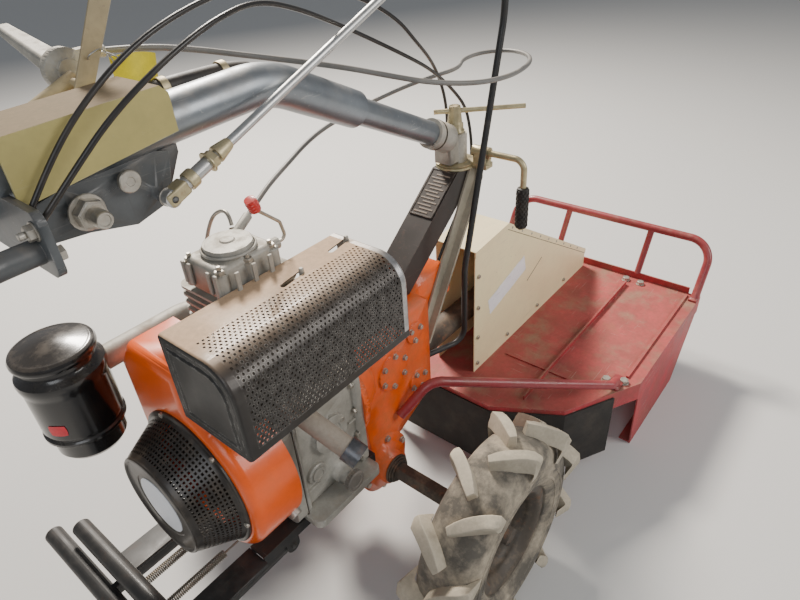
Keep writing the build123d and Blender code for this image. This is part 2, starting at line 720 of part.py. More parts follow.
# Handlebar: socket that turns on the stud, straight tube and larger bent tube
slope = tan(radians(handle_rise))
axis_z = head_z + 12          # where the tube's axis meets the stud's
socket_z = plate_z + plate_t + seat_gap
collar_gap = 0.02
tube_start = (head_x - 30, 0, axis_z + 30 * slope)
step_z = axis_z + (head_x - step_x) * slope
with BuildPart() as socket:
    with BuildSketch(Plane.XY.offset(socket_z)):
        with Locations((head_x, 0)):
            Circle(23)
    extrude(amount=54)
    with BuildSketch(Plane.XY.offset(socket_z + 4)):
        with Locations((head_x - 26, 0)):
            Rectangle(30, 36)
    extrude(amount=48)
    add(bar(tube_start, (head_x - 78, 0, axis_z + 78 * slope), socket_r))
    with Locations((head_x, 0, socket_z + 44)):
        Cylinder(stud_r + run_gap, 90, mode=Mode.SUBTRACT)
save(socket.part - bar(tube_start, (step_x, 0, step_z), front_tube_r + collar_gap), "handle_socket")
front_tube_end = (step_x - 20, 0, step_z + 20 * slope)
save(bar(tube_start, front_tube_end, front_tube_r, front_tube_wall), "handle_tube_front")
bend_x = head_x - (handle_level_z - axis_z) / slope
rear_points = ((step_x + 18, 0, step_z - 18 * slope), (bend_x, 0, handle_level_z),
               (handle_end_x, 0, handle_level_z - 16))
collar_end = (step_x - 24, 0, step_z + 24 * slope)
rear_tube = bent_tube(rear_points, [150], rear_tube_r, front_tube_wall)
rear_tube = rear_tube + bar(rear_points[0], collar_end, rear_tube_r - 1)
rear_tube = rear_tube - bar(tube_start, (step_x - 40, 0, step_z + 40 * slope), front_tube_r + collar_gap)
save(rear_tube, "handle_tube_rear")
rear_tube_full = bent_tube(rear_points, [150], rear_tube_r)

# Khaki cover box over the rear of the tube: top, two sides and a short sloped front edge
box_half_w = 42.0
box_sheet = 3.0
box_front_x = -236.0
box_rear_x = -412.0
with BuildPart() as lever_box:
    with BuildSketch(Plane.XZ.offset(-box_half_w)):
        with BuildLine():
            Polyline((box_front_x, 938), (box_front_x, 979), (box_front_x - 9, 988), (box_rear_x, 982),
                     (box_rear_x, 916), close=True)
        make_face()
    extrude(amount=2 * box_half_w)
    with BuildSketch(Plane.XZ.offset(-box_half_w + box_sheet)):
        with BuildLine():
            Polyline((box_front_x + 1, 930), (box_front_x + 1, 976), (box_front_x - 8, 985),
                     (box_rear_x - 1, 979), (box_rear_x - 1, 900), close=True)
        make_face()
    extrude(amount=2 * (box_half_w - box_sheet), mode=Mode.SUBTRACT)
save(lever_box.part, "lever_box")

# Shift plate and bracket under the box, with its cross plate and the pin of the rod
rod_pin_x = -268.0
rod_pin_z = 872.0
bracket_half_w = 95.0
bracket_t = 8.0
with BuildPart() as handle_bracket:
    with BuildSketch(Plane.YZ.offset(handle_end_x)):
        with Locations((0, 894)):
            RectangleRounded(2 * bracket_half_w, 66, 12)
    extrude(amount=bracket_t)
    with BuildSketch(Plane.XZ.offset(-10)):
        with BuildLine():
            Polyline((handle_end_x + bracket_t, 862), (handle_end_x + bracket_t, 930), (-225, 940),
                     (-225, 905), (-254, 854), (-300, 850), close=True)
        make_face()
    extrude(amount=20)
    with BuildSketch(Plane.XZ.offset(11)):
        with BuildLine():
            Polyline((-392, 905), (-300, 930), (-240, 912), (-252, 858), (-300, 846), (-392, 868), close=True)
        make_face()
    extrude(amount=6)
    for bolt_x, bolt_z, bolt_r in ((-352, 885, 15), (-300, 900, 10), (rod_pin_x, rod_pin_z, 8)):
        with Locations((bolt_x, -16, bolt_z)):
            Cylinder(bolt_r, 22, rotation=(90, 0, 0))
    with Locations((-352, -32, 885)):
        Cylinder(9, 22, rotation=(90, 0, 0))
    with Locations((rod_pin_x, -30, rod_pin_z)):
        Cylinder(4, 48, rotation=(90, 0, 0))
save(handle_bracket.part - rear_tube_full, "handle_bracket")

# Arms of the handlebar with their grips
arm_z = 885.0
arm_y = 70.0
arm_spread_x = -700.0
arm_spread_z = 945.0
for label, side in (("right", -1), ("left", 1)):
    arm_points = ((handle_end_x - collar_gap, side * arm_y, arm_z), (-480, side * arm_y, arm_z),
                  (arm_spread_x, side * grip_half_y, arm_spread_z), (grip_x, side * grip_half_y, grip_z))
    save(bent_tube(arm_points, [70, 90], arm_r, tube_wall), f"handle_arm_{label}")
    run = (grip_z - arm_spread_z) / (grip_x - arm_spread_x)
    grip_front = (grip_x + grip_len, side * grip_half_y, grip_z + run * grip_len)
    grip_rear = (grip_x - 12, side * grip_half_y, grip_z - run * 12)
    core_end = (grip_front[0] + 20, side * grip_half_y, grip_front[2] + run * 20)
    core = bar((grip_x, side * grip_half_y, grip_z), core_end, arm_r + collar_gap)
    save(bar(grip_rear, grip_front, 17) - core, f"grip_{label}")

# Shift rod beside the head, and the silver rod from the shift plate
gear_rod_points = ((case_nose_x, -44, 350), (262, -78, 350), (262, -78, 520), (392, -70, 950),
                   (398, -70, 1040))
save(bent_tube(gear_rod_points, [30, 80, 160], 6) - gearbox.part, "gear_rod")
silver_y = -44.0
silver_end = (255, silver_y, 1076)
eye_plane = Plane(origin=(rod_pin_x, silver_y + 7, rod_pin_z), z_dir=(0, -1, 0))
hole_plane = Plane(origin=(rod_pin_x, silver_y + 20, rod_pin_z), z_dir=(0, -1, 0))
silver_rod = bar((rod_pin_x, silver_y, rod_pin_z), silver_end, 6) + Solid.make_cylinder(10, 14, eye_plane)
clevis_end = (rod_pin_x + 62, silver_y, rod_pin_z + 24)
silver_rod = silver_rod + bar((rod_pin_x, silver_y, rod_pin_z), clevis_end, 8.5)
save(silver_rod - Solid.make_cylinder(4 + run_gap, 40, hole_plane), "silver_rod")

# Khaki hand lever on the left of the box: pivot boss and flat lever folded along its length
hand_lever_y = box_half_w + 8
with BuildPart() as hand_lever:
    with BuildSketch(Plane.XZ.offset(-box_half_w - seat_gap)):
        with Locations((-298, 958)):
            Circle(9)
    extrude(amount=-8)
    with BuildSketch(Plane.XZ.offset(-hand_lever_y)):
        with BuildLine():
            Polyline((-309, 950), (-287, 950), (-214, 1072), (-236, 1078), close=True)
        make_face()
    extrude(amount=-14)
    with BuildSketch(Plane.XZ.offset(-hand_lever_y - 3)):
        with BuildLine():
            Polyline((-306, 960), (-284, 940), (-205, 1072), (-233, 1085), close=True)
        make_face()
    extrude(amount=-14, mode=Mode.SUBTRACT)
save(hand_lever.part, "hand_lever")

# Deck: top sheet, side plates with skids, front lip, rear rim, folded ridges and bearing hole
rim_h = 48.0
skid_w = 28.0
skid_t = 4.0
deck_plan = ((deck_front_x, deck_left), (deck_front_x, deck_right), (deck_side_x, deck_right), (330, -288),
             (deck_rear_x, -150), (deck_rear_x, 120), (340, deck_left))
with BuildPart() as deck:
    with BuildSketch(Plane.XY.offset(deck_z - sheet)) as deck_top:
        with BuildLine():
            Polyline(*deck_plan, close=True)
        make_face()
    extrude(amount=sheet)
    with BuildSketch(Plane.XY.offset(deck_z - rim_h)):
        add(deck_top.sketch_local)
        offset(deck_top.sketch_local, amount=-sheet, mode=Mode.SUBTRACT)
    extrude(amount=rim_h)
    for y_face in (deck_right, deck_left - sheet):
        with BuildSketch(Plane.XZ.offset(-y_face)):
            with BuildLine():
                Polyline((deck_side_x, deck_z), (deck_front_x, deck_z), (deck_front_x, deck_z - 25),
                         (skid_front_x, 0), (skid_rear_x, 0), close=True)
            make_face()
        extrude(amount=-sheet)
    for y_skid in (deck_right, deck_left - skid_w):
        with BuildSketch(Plane.XY):
            with Locations(((skid_rear_x + skid_front_x) / 2, y_skid + skid_w / 2)):
                Rectangle(skid_front_x - skid_rear_x - 4, skid_w)
        extrude(amount=skid_t)
    with BuildSketch(Plane.XY.offset(deck_z)):
        with Locations((deck_front_x - 2, (deck_right + deck_left) / 2)):
            Rectangle(4, deck_left - deck_right - 60)
    extrude(amount=lip_h)
    # folded ridges along the top: middle x, y, length, width, height
    for ridge in ((590, -200, 560, 4, 12), (705, -352, 400, 6, 5), (425, -180, 6, 180, 4)):
        with BuildSketch(Plane.XY.offset(deck_z)):
            with Locations((ridge[0], ridge[1])):
                Rectangle(ridge[2], ridge[3])
        extrude(amount=ridge[4])
    with Locations((spindle_x, spindle_y, deck_z)):
        Cylinder(spindle_hole, 4 * sheet, mode=Mode.SUBTRACT)
save(deck.part, "mower_deck")

# Guard of round tube in front of the deck, with two posts on the lip and a foot at each end
guard_left = deck_left - guard_r
guard_right = deck_right + guard_r
guard_foot_x = deck_front_x - 20
guard_points = ((guard_foot_x, guard_right, deck_z - 10), (guard_x, guard_right, guard_z),
                (guard_x, guard_left, guard_z), (guard_foot_x, guard_left, deck_z - 10))
with BuildPart() as deck_guard:
    add(bent_tube(guard_points, [guard_bend, guard_bend], guard_r, 2.0))
    split(bisect_by=Plane.XY.offset(deck_z + 2))
    for y_foot in (guard_right, guard_left):
        with BuildSketch(Plane.XY.offset(deck_z)):
            with Locations((guard_foot_x, y_foot)):
                Rectangle(36, 20)
        extrude(amount=5)
with BuildPart() as guard_posts:
    for y_post in (-212, 28):
        add(bar((deck_front_x - 6, y_post, deck_z + 8), (guard_x, y_post, guard_z), 8.5))
    split(bisect_by=Plane.XY.offset(deck_z + lip_h))
save(deck_guard.part + guard_posts.part, "deck_guard")

# Rubber skirt on the rear facets
skirt_t = 4.0
skirt_low_z = 28.0
with BuildPart() as skirt:
    with BuildSketch(Plane.XY.offset(skirt_low_z)):
        add(deck_top.sketch_local)
        offset(amount=skirt_t, kind=Kind.INTERSECTION)
        add(deck_top.sketch_local, mode=Mode.SUBTRACT)
        with Locations((deck_rear_x + 85, -150)):
            Rectangle(210, 560, mode=Mode.INTERSECT)
    extrude(amount=deck_z - 12 - skirt_low_z)
save(skirt.part, "rubber_skirt")

# Drive cover: sheet side panels and lid with a hem down both sides, open at the rear
hem_w = 14.0
hem_t = 1.5
cover_profile = ((325, deck_z), (325, 523), (455, 535), (900, 262), (900, deck_z))
with BuildPart() as drive_cover:
    with BuildSketch(Plane.XZ.offset(-cover_left)):
        with BuildLine():
            Polyline(*cover_profile, close=True)
        make_face()
    extrude(amount=cover_left - cover_right)
    with BuildSketch(Plane.XZ.offset(-cover_left - hem_t)):
        with BuildLine():
            Polyline((325, 523 - hem_w), (325, 523), (455, 535), (900, 262), (900, 262 - hem_w),
                     (452, 535 - hem_w), close=True)
        make_face()
    extrude(amount=cover_left - cover_right + 2 * hem_t)
    with BuildSketch(Plane.XZ.offset(-cover_left + cover_sheet)):
        with BuildLine():
            Polyline((320, deck_z - 1), (320, 521), (455, 532.5), (898, 260), (898, deck_z - 1), close=True)
        make_face()
    extrude(amount=cover_left - cover_right - 2 * cover_sheet, mode=Mode.SUBTRACT)
save(drive_cover.part, "drive_cover")

# Drive inside the cover: shaft tube from the gearbox and the bevel box over the spindle
shaft_tube_r = 26.0
foot_r = 35.5
with BuildPart() as drive_case:
    with Locations((spindle_x, spindle_y, deck_z + 45)):
        Cylinder(32, 90)
    with Locations((spindle_x, spindle_y, shaft_z)):
        Box(90, 66, 80)
    fillet(drive_case.edges().filter_by(GeomType.LINE).filter_by(Axis.X), 10)
    with Locations((spindle_x, spindle_y, deck_z + 4)):
        Cylinder(foot_r, 8)
    add(bar((case_nose_x + gear_flange + seat_gap, 0, shaft_z), (spindle_x, 0, shaft_z), shaft_tube_r))
    add(bar((spindle_x, spindle_y, 110), (spindle_x, spindle_y, deck_z), spindle_hole - 2))
    with Locations((spindle_x, spindle_y, 190)):
        Cylinder(spindle_r + run_gap, 260, mode=Mode.SUBTRACT)
save(drive_case.part - gearbox.part, "drive_case")

# Rotor: spindle, carrier bar and two swinging blades
with BuildPart() as rotor:
    with Locations((spindle_x, spindle_y, blade_z + 110)):
        Cylinder(spindle_r, 220)
    with Locations((spindle_x, spindle_y, blade_z + 14)):
        Cylinder(40, 20)
    with BuildSketch(Plane.XY.offset(blade_z)):
        with Locations((spindle_x, spindle_y)):
            SlotOverall(270, 60)
    extrude(amount=8)
    for side in (-1, 1):
        with BuildSketch(Plane.XY.offset(blade_z - 6)):
            with Locations((spindle_x + side * (rotor_r - 55), spindle_y)):
                Rectangle(110, 44)
        extrude(amount=6)
save(rotor.part, "mower_rotor")

# Braces from the gearbox to the rear corners of the deck
brace_r = 10.0
for label, side, foot_x, foot_y in (("right", -1, 470, -340), ("left", 1, 372, 172)):
    brace_points = ((52, side * 70, 292), (112, side * 100, 352), (foot_x - 26, foot_y, deck_z + 17),
                    (foot_x, foot_y, deck_z + 9))
    with BuildPart() as brace:
        add(bent_tube(brace_points, [45, 12], brace_r, 2.0) - gearbox.part)
        with BuildSketch(Plane.XY.offset(deck_z)):
            with Locations((foot_x + 4, foot_y)):
                RectangleRounded(50, 26, 6)
        extrude(amount=5)
        split(bisect_by=Plane.XY.offset(deck_z))
    save(brace.part, f"brace_{label}")

# Lever bracket at the left of the box: cast plate with its foot, lever and cable ferrule
cast_y = 92.0
cast_t = 14.0
pivot = (-272.0, 995.0)
cast_foot = (-262.0, 957.0)
cast_nose = (-240.0, 1006.0)
lever_tip_y = 300.0
throttle_start = (-224.0, 96.0, 1006.0)
with BuildPart() as lever_bracket:
    # plate towards its foot and towards the ferrule: the round at the far end and its radius
    for far_end, pivot_r, far_r in ((cast_foot, 24, 10), (cast_nose, 18, 8)):
        with BuildSketch(Plane.XZ.offset(-cast_y)):
            with Locations(pivot):
                Circle(pivot_r)
            with Locations(far_end):
                Circle(far_r)
            make_hull()
        extrude(amount=-cast_t)
    with BuildSketch(Plane.XZ.offset(-box_half_w - seat_gap)):
        with Locations(cast_foot):
            Circle(8)
    extrude(amount=-(cast_y - box_half_w))
    with BuildSketch(Plane.XZ.offset(-cast_y + 6)):
        with Locations(pivot):
            Circle(13)
    extrude(amount=-cast_t - 10)
    with BuildSketch(Plane.XZ.offset(-cast_y - cast_t)):
        with Locations(pivot):
            RectangleRounded(30, 22, 5)
    with BuildSketch(Plane.XZ.offset(-lever_tip_y)):
        with Locations((-248, 1020)):
            RectangleRounded(20, 12, 5)
    loft()
    add(bar((-243, 95.3, 1008.2), (-224.5, 96, 1006), 7))
save(lever_bracket.part, "lever_bracket")

# Short tube beside the hand lever, carried on a lug from the lever's web
link_y = 74.0
link_r = 9.0
link_tube = bar((-362, link_y, 955), (-275, link_y, 990), link_r, 1.5)
save(link_tube + bar((-282, hand_lever_y + 3, 987), (-282, link_y - link_r + 1, 987), 5), "link_tube")


# Cables: tubes along chosen points with the widest bends that their runs allow; each is
# parted by a thin gap where it passes from the turning handlebar to the machine
def cable(points, radius, parting, label):
    points = [Vector(*p) for p in points]
    runs = [b - a for a, b in zip(points, points[1:])]
    radii = []
    for a, b in zip(runs, runs[1:]):
        radii.append(0.45 * min(a.length, b.length) / tan(radians(a.get_angle(b) / 2)))
    tube = bent_tube(points, radii, radius)
    with BuildLine() as path:
        FilletPolyline(*points, radius=radii)
    length = sum(piece.length for piece in path.edges())
    print(label, "length", round(length), "radii", [round(r) for r in radii],
          "volume", round(tube.volume), "section times length", round(length * pi * radius ** 2))
    with BuildPart(parting) as gap:
        Cylinder(3 * radius, seat_gap)
    lower, upper = (tube - gap.part).solids().sort_by(Axis.Z)
    save(upper, label + "_upper")
    save(lower, label + "_lower")


# grey throttle cable from the lever bracket in a loop round the head to its stop on the rocker cover
throttle_points = (throttle_start, (-172, 98, 1000), (-114, 87, 987), (-55, 58, 970), (4, 24, 953),
                   (60, -18, 936), (99, -60, 921), (145, -98, 905), (222, -127, 889), (303, -137, 882),
                   (385, -125, 880), (452, -93, 877), (496, -50, 873), (516, -4, 869), (496, 40, 865),
                   (450, 55, 860), (406, 32, 855), (357, 60, 848), (314, 92, 836), (258, 118, 822),
                   (200, 134, 810), (142, 140, 800), (84, 128, 792), (26, 106, 784), (-34, 84, 776),
                   (-78, 67, 765), throttle_stop)
cable(throttle_points, 4, Plane(origin=(428, 43.5, 857.5), z_dir=(0.886, 0.463, 0.1)), "throttle_cable")

# two black clutch cables from the cross plate over the head and down to the gearbox neck
cable_end_x = handle_end_x + bracket_t + 2.6
neck_x = 266.4
neck_z = 518.2
parting_z = 762.0
right_clutch_points = ((cable_end_x, -75, 912), (-372, -79, 944), (-322, -85, 985), (-255, -90, 1022),
                       (-190, -84, 1044), (-120, -64, 1050), (-50, -45, 1032), (28, -28, 1002),
                       (110, -16, 966), (190, -20, 925), (255, -10, 893), (310, 4, 862), (358, 11, 828),
                       (394, 9, 790), (401, 3, 748), (399, -3, 702), (386, -7, 656), (353, -9, 610),
                       (312, -11, 570), (281, -12, 536), (neck_x, -12, neck_z))
left_clutch_points = ((cable_end_x, -54, 916), (-378, -53, 952), (-328, -54, 996), (-258, -48, 1034),
                      (-178, -38, 1055), (-95, -24, 1062), (-12, -12, 1054), (64, -6, 1034),
                      (132, -2, 1010), (190, -6, 976), (236, 0, 938), (287, 14, 903), (331, 30, 868),
                      (362, 38, 826), (378, 42, 784), (382, 44, 742), (384, 45, 700), (377, 38, 656),
                      (352, 24, 610), (312, 19, 570), (281, 15, 536), (neck_x, 14, neck_z))
cable(right_clutch_points, 3, Plane(origin=(398, 6, parting_z)), "clutch_cable_right")
cable(left_clutch_points, 3, Plane(origin=(380, 43, parting_z)), "clutch_cable_left")
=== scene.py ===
import json
import math
import bmesh
import bpy
from mathutils import Matrix, Vector


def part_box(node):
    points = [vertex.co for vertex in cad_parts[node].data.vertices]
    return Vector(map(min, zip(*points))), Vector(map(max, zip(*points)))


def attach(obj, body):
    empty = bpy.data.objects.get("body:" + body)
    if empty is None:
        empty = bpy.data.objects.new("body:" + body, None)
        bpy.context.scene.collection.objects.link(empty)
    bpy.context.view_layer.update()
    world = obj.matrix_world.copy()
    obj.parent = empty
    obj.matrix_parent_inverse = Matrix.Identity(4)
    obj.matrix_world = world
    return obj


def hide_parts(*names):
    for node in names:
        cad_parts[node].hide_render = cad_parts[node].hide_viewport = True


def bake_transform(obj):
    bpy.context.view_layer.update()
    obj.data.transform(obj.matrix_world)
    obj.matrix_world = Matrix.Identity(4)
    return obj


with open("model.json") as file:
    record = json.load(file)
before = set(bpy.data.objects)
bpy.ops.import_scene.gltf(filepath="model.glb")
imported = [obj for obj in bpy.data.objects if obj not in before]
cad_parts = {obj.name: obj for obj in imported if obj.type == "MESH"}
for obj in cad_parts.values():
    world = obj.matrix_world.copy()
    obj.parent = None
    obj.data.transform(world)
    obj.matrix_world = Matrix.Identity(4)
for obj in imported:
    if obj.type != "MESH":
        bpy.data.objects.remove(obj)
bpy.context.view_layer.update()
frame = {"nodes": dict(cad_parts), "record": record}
CHASSIS, HANDLEBAR = "chassis", "handlebar"
RIGHT, LEFT, UP, REAR, FRONT = (0, -1, 0), (0, 1, 0), (0, 0, 1), (-1, 0, 0), (1, 0, 0)
SIDES = (("left", 1), ("right", -1))
AXLE_Z, STARTER_Z = 205, 434


def mm(x, y, z):
    """A place on the machine, in the drawing's millimetres."""
    return Vector((x, y, z)) / 1000


# Bench work

def clear_bench():
    """Object mode with nothing selected."""
    if bpy.context.object and bpy.context.object.mode != "OBJECT":
        bpy.ops.object.mode_set(mode="OBJECT")
    bpy.ops.object.select_all(action="DESELECT")


def take(*pieces):
    """Selects these pieces, the first one active."""
    clear_bench()
    for piece in pieces:
        piece.select_set(True)
    bpy.context.view_layer.objects.active = pieces[0]


def open_all(piece):
    """Edit mode with the whole piece selected."""
    take(piece)
    bpy.ops.object.mode_set(mode="EDIT")
    bpy.ops.mesh.select_all(action="SELECT")


def shut():
    """Back to object mode."""
    bpy.ops.object.mode_set(mode="OBJECT")


def settle(piece, name):
    """Names the new piece and puts its place into its mesh."""
    piece.name = name
    bpy.ops.object.transform_apply(location=True, rotation=True, scale=True)
    return piece


def tilt_to(toward, roll=0.0):
    """The turn that brings the Z axis to the given direction."""
    aim = Vector(toward).normalized().to_track_quat("Z", "Y")
    return (aim.to_matrix() @ Matrix.Rotation(roll, 3, "Z")).to_euler()


def round_blank(name, radius, length, middle, sides):
    """An upright cylinder."""
    clear_bench()
    bpy.ops.mesh.primitive_cylinder_add(vertices=sides, radius=radius, depth=length, location=middle)
    return settle(bpy.context.object, name)


def block_blank(name, size, middle, toward=UP):
    """A block with its Z axis turned."""
    clear_bench()
    bpy.ops.mesh.primitive_cube_add(size=1, location=middle, rotation=tilt_to(toward))
    bpy.context.object.scale = size
    return settle(bpy.context.object, name)


def open_faces(piece, test):
    """Edit mode with the faces selected whose middle and normal pass the test."""
    take(piece)
    bpy.ops.object.mode_set(mode="EDIT")
    bpy.ops.mesh.select_mode(type="FACE")
    bpy.ops.mesh.select_all(action="DESELECT")
    shape = bmesh.from_edit_mesh(piece.data)
    for face in shape.faces:
        if test(face.calc_center_median(), face.normal):
            face.select_set(True)
    bmesh.update_edit_mesh(piece.data)


def inset(*steps, each=False):
    """Insets the selected faces by one border and depth after the other, together or each face by itself."""
    for border, depth in steps:
        bpy.ops.mesh.inset(thickness=border, depth=depth, use_individual=each)


def soften(piece, width, steps=2, angle=35):
    """Rounds the edges that are sharper than the angle."""
    take(piece)
    bevel = piece.modifiers.new("edges", "BEVEL")
    bevel.width = width
    bevel.segments = steps
    bevel.limit_method = "ANGLE"
    bevel.angle_limit = math.radians(angle)
    bpy.ops.object.modifier_apply(modifier=bevel.name)
    return piece


def smooth(piece, angle):
    """Shades the edges below the angle as round."""
    take(piece)
    bpy.ops.object.shade_smooth_by_angle(angle=math.radians(angle))


def weld(name, pieces):
    """Joins pieces into one object."""
    take(*pieces)
    if len(pieces) > 1:
        bpy.ops.object.join()
    pieces[0].name = name
    return pieces[0]


def even(piece):
    """Shading that follows the large faces, so flat walls stay flat beside small bevels."""
    take(piece)
    weights = piece.modifiers.new("shading", "WEIGHTED_NORMAL")
    weights.keep_sharp = True
    weights.weight = 90
    bpy.ops.object.modifier_apply(modifier=weights.name)


def mount(piece, body, material, instead_of=(), angle=35):
    """Smooths the finished piece, paints it and puts it on its body."""
    smooth(piece, angle)
    if len(piece.data.polygons) < 60000:
        even(piece)
    piece.data.materials.clear()
    piece.data.materials.append(material)
    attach(piece, body)
    if instead_of:
        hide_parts(*instead_of)
    return piece


def another(master, place=(0, 0, 0)):
    """A copy of a master piece with its own mesh, set at a place."""
    copy = master.copy()
    copy.data = master.data.copy()
    bpy.context.scene.collection.objects.link(copy)
    copy.data.transform(Matrix.Translation(place))
    return copy


def scrap(*masters):
    """Takes the masters away when their copies are made."""
    for master in masters:
        bpy.data.objects.remove(master, do_unlink=True)


def turned(name, outline, middle, toward=UP, steps=48):
    """A turned piece: the outline is radius and height in millimetres, spun about the axis."""
    clear_bench()
    bpy.ops.mesh.primitive_plane_add(size=0.002, location=(0, 0, 0))
    piece = bpy.context.object
    bpy.ops.object.mode_set(mode="EDIT")
    bpy.ops.mesh.select_mode(type="VERT")
    bpy.ops.mesh.select_all(action="SELECT")
    bpy.ops.mesh.merge(type="CENTER")
    first = Vector((outline[0][0], 0, outline[0][1])) / 1000
    bpy.ops.transform.translate(value=first)
    last = first
    for radius, height in outline[1:]:
        point = Vector((radius, 0, height)) / 1000
        bpy.ops.mesh.extrude_region_move(TRANSFORM_OT_translate={"value": point - last})
        last = point
    bpy.ops.mesh.select_all(action="SELECT")
    bpy.ops.mesh.spin(steps=steps, angle=2 * math.pi, center=(0, 0, 0), axis=(0, 0, 1))
    bpy.ops.mesh.select_all(action="SELECT")
    bpy.ops.mesh.remove_doubles(threshold=0.00002)
    bpy.ops.mesh.normals_make_consistent(inside=False)
    bpy.ops.object.mode_set(mode="OBJECT")
    piece.data.transform(Matrix.Translation(middle) @ tilt_to(toward).to_matrix().to_4x4())
    piece.name = name
    return piece


def smooth_line(name, route):
    """A smooth line led by the route's points, given in millimetres."""
    clear_bench()
    line = bpy.data.curves.new(name, "CURVE")
    line.dimensions = "3D"
    spline = line.splines.new("NURBS")
    spline.points.add(len(route) - 1)
    for control, place in zip(spline.points, route):
        control.co = (*mm(*place), 1)
    spline.order_u = 3
    spline.use_endpoint_u = True
    spline.resolution_u = 10
    piece = bpy.data.objects.new(name, line)
    bpy.context.scene.collection.objects.link(piece)
    return piece


def round_out(piece, radius, sides):
    """Gives the line a round section with closed ends and makes it a mesh."""
    piece.data.bevel_depth = radius
    piece.data.bevel_resolution = sides
    piece.data.use_fill_caps = True
    take(piece)
    bpy.ops.object.convert(target="MESH")
    return bpy.context.object


def bent_rod(name, route, radius, sides):
    """A rod or pipe along a smooth line, as a mesh."""
    return round_out(smooth_line(name, route), radius, sides)


def close_doubles(piece, reach=0.00002):
    """Merges points that lie together and turns all faces outward."""
    open_all(piece)
    bpy.ops.mesh.remove_doubles(threshold=reach)
    bpy.ops.mesh.normals_make_consistent(inside=False)
    shut()
    return piece


def face_outward(piece):
    """Turns all faces outward."""
    open_all(piece)
    bpy.ops.mesh.normals_make_consistent(inside=False)
    shut()


def thicken(piece, wall, side=-1):
    """Gives a sheet its wall: to the inside at -1, to both sides at 0."""
    take(piece)
    sheet = piece.modifiers.new("wall", "SOLIDIFY")
    sheet.thickness = wall
    sheet.offset = side
    bpy.ops.object.modifier_apply(modifier=sheet.name)


def bar(name, low, high, width):
    """A block between two corners in millimetres, its edges rounded."""
    middle = (Vector(low) + Vector(high)) / 2000
    return soften(block_blank(name, (Vector(high) - Vector(low)) / 1000, middle), width, 2)


# Finishes

DRY_EARTH = (0.40, 0.30, 0.20)
IRON_RUST = (0.16, 0.055, 0.02)


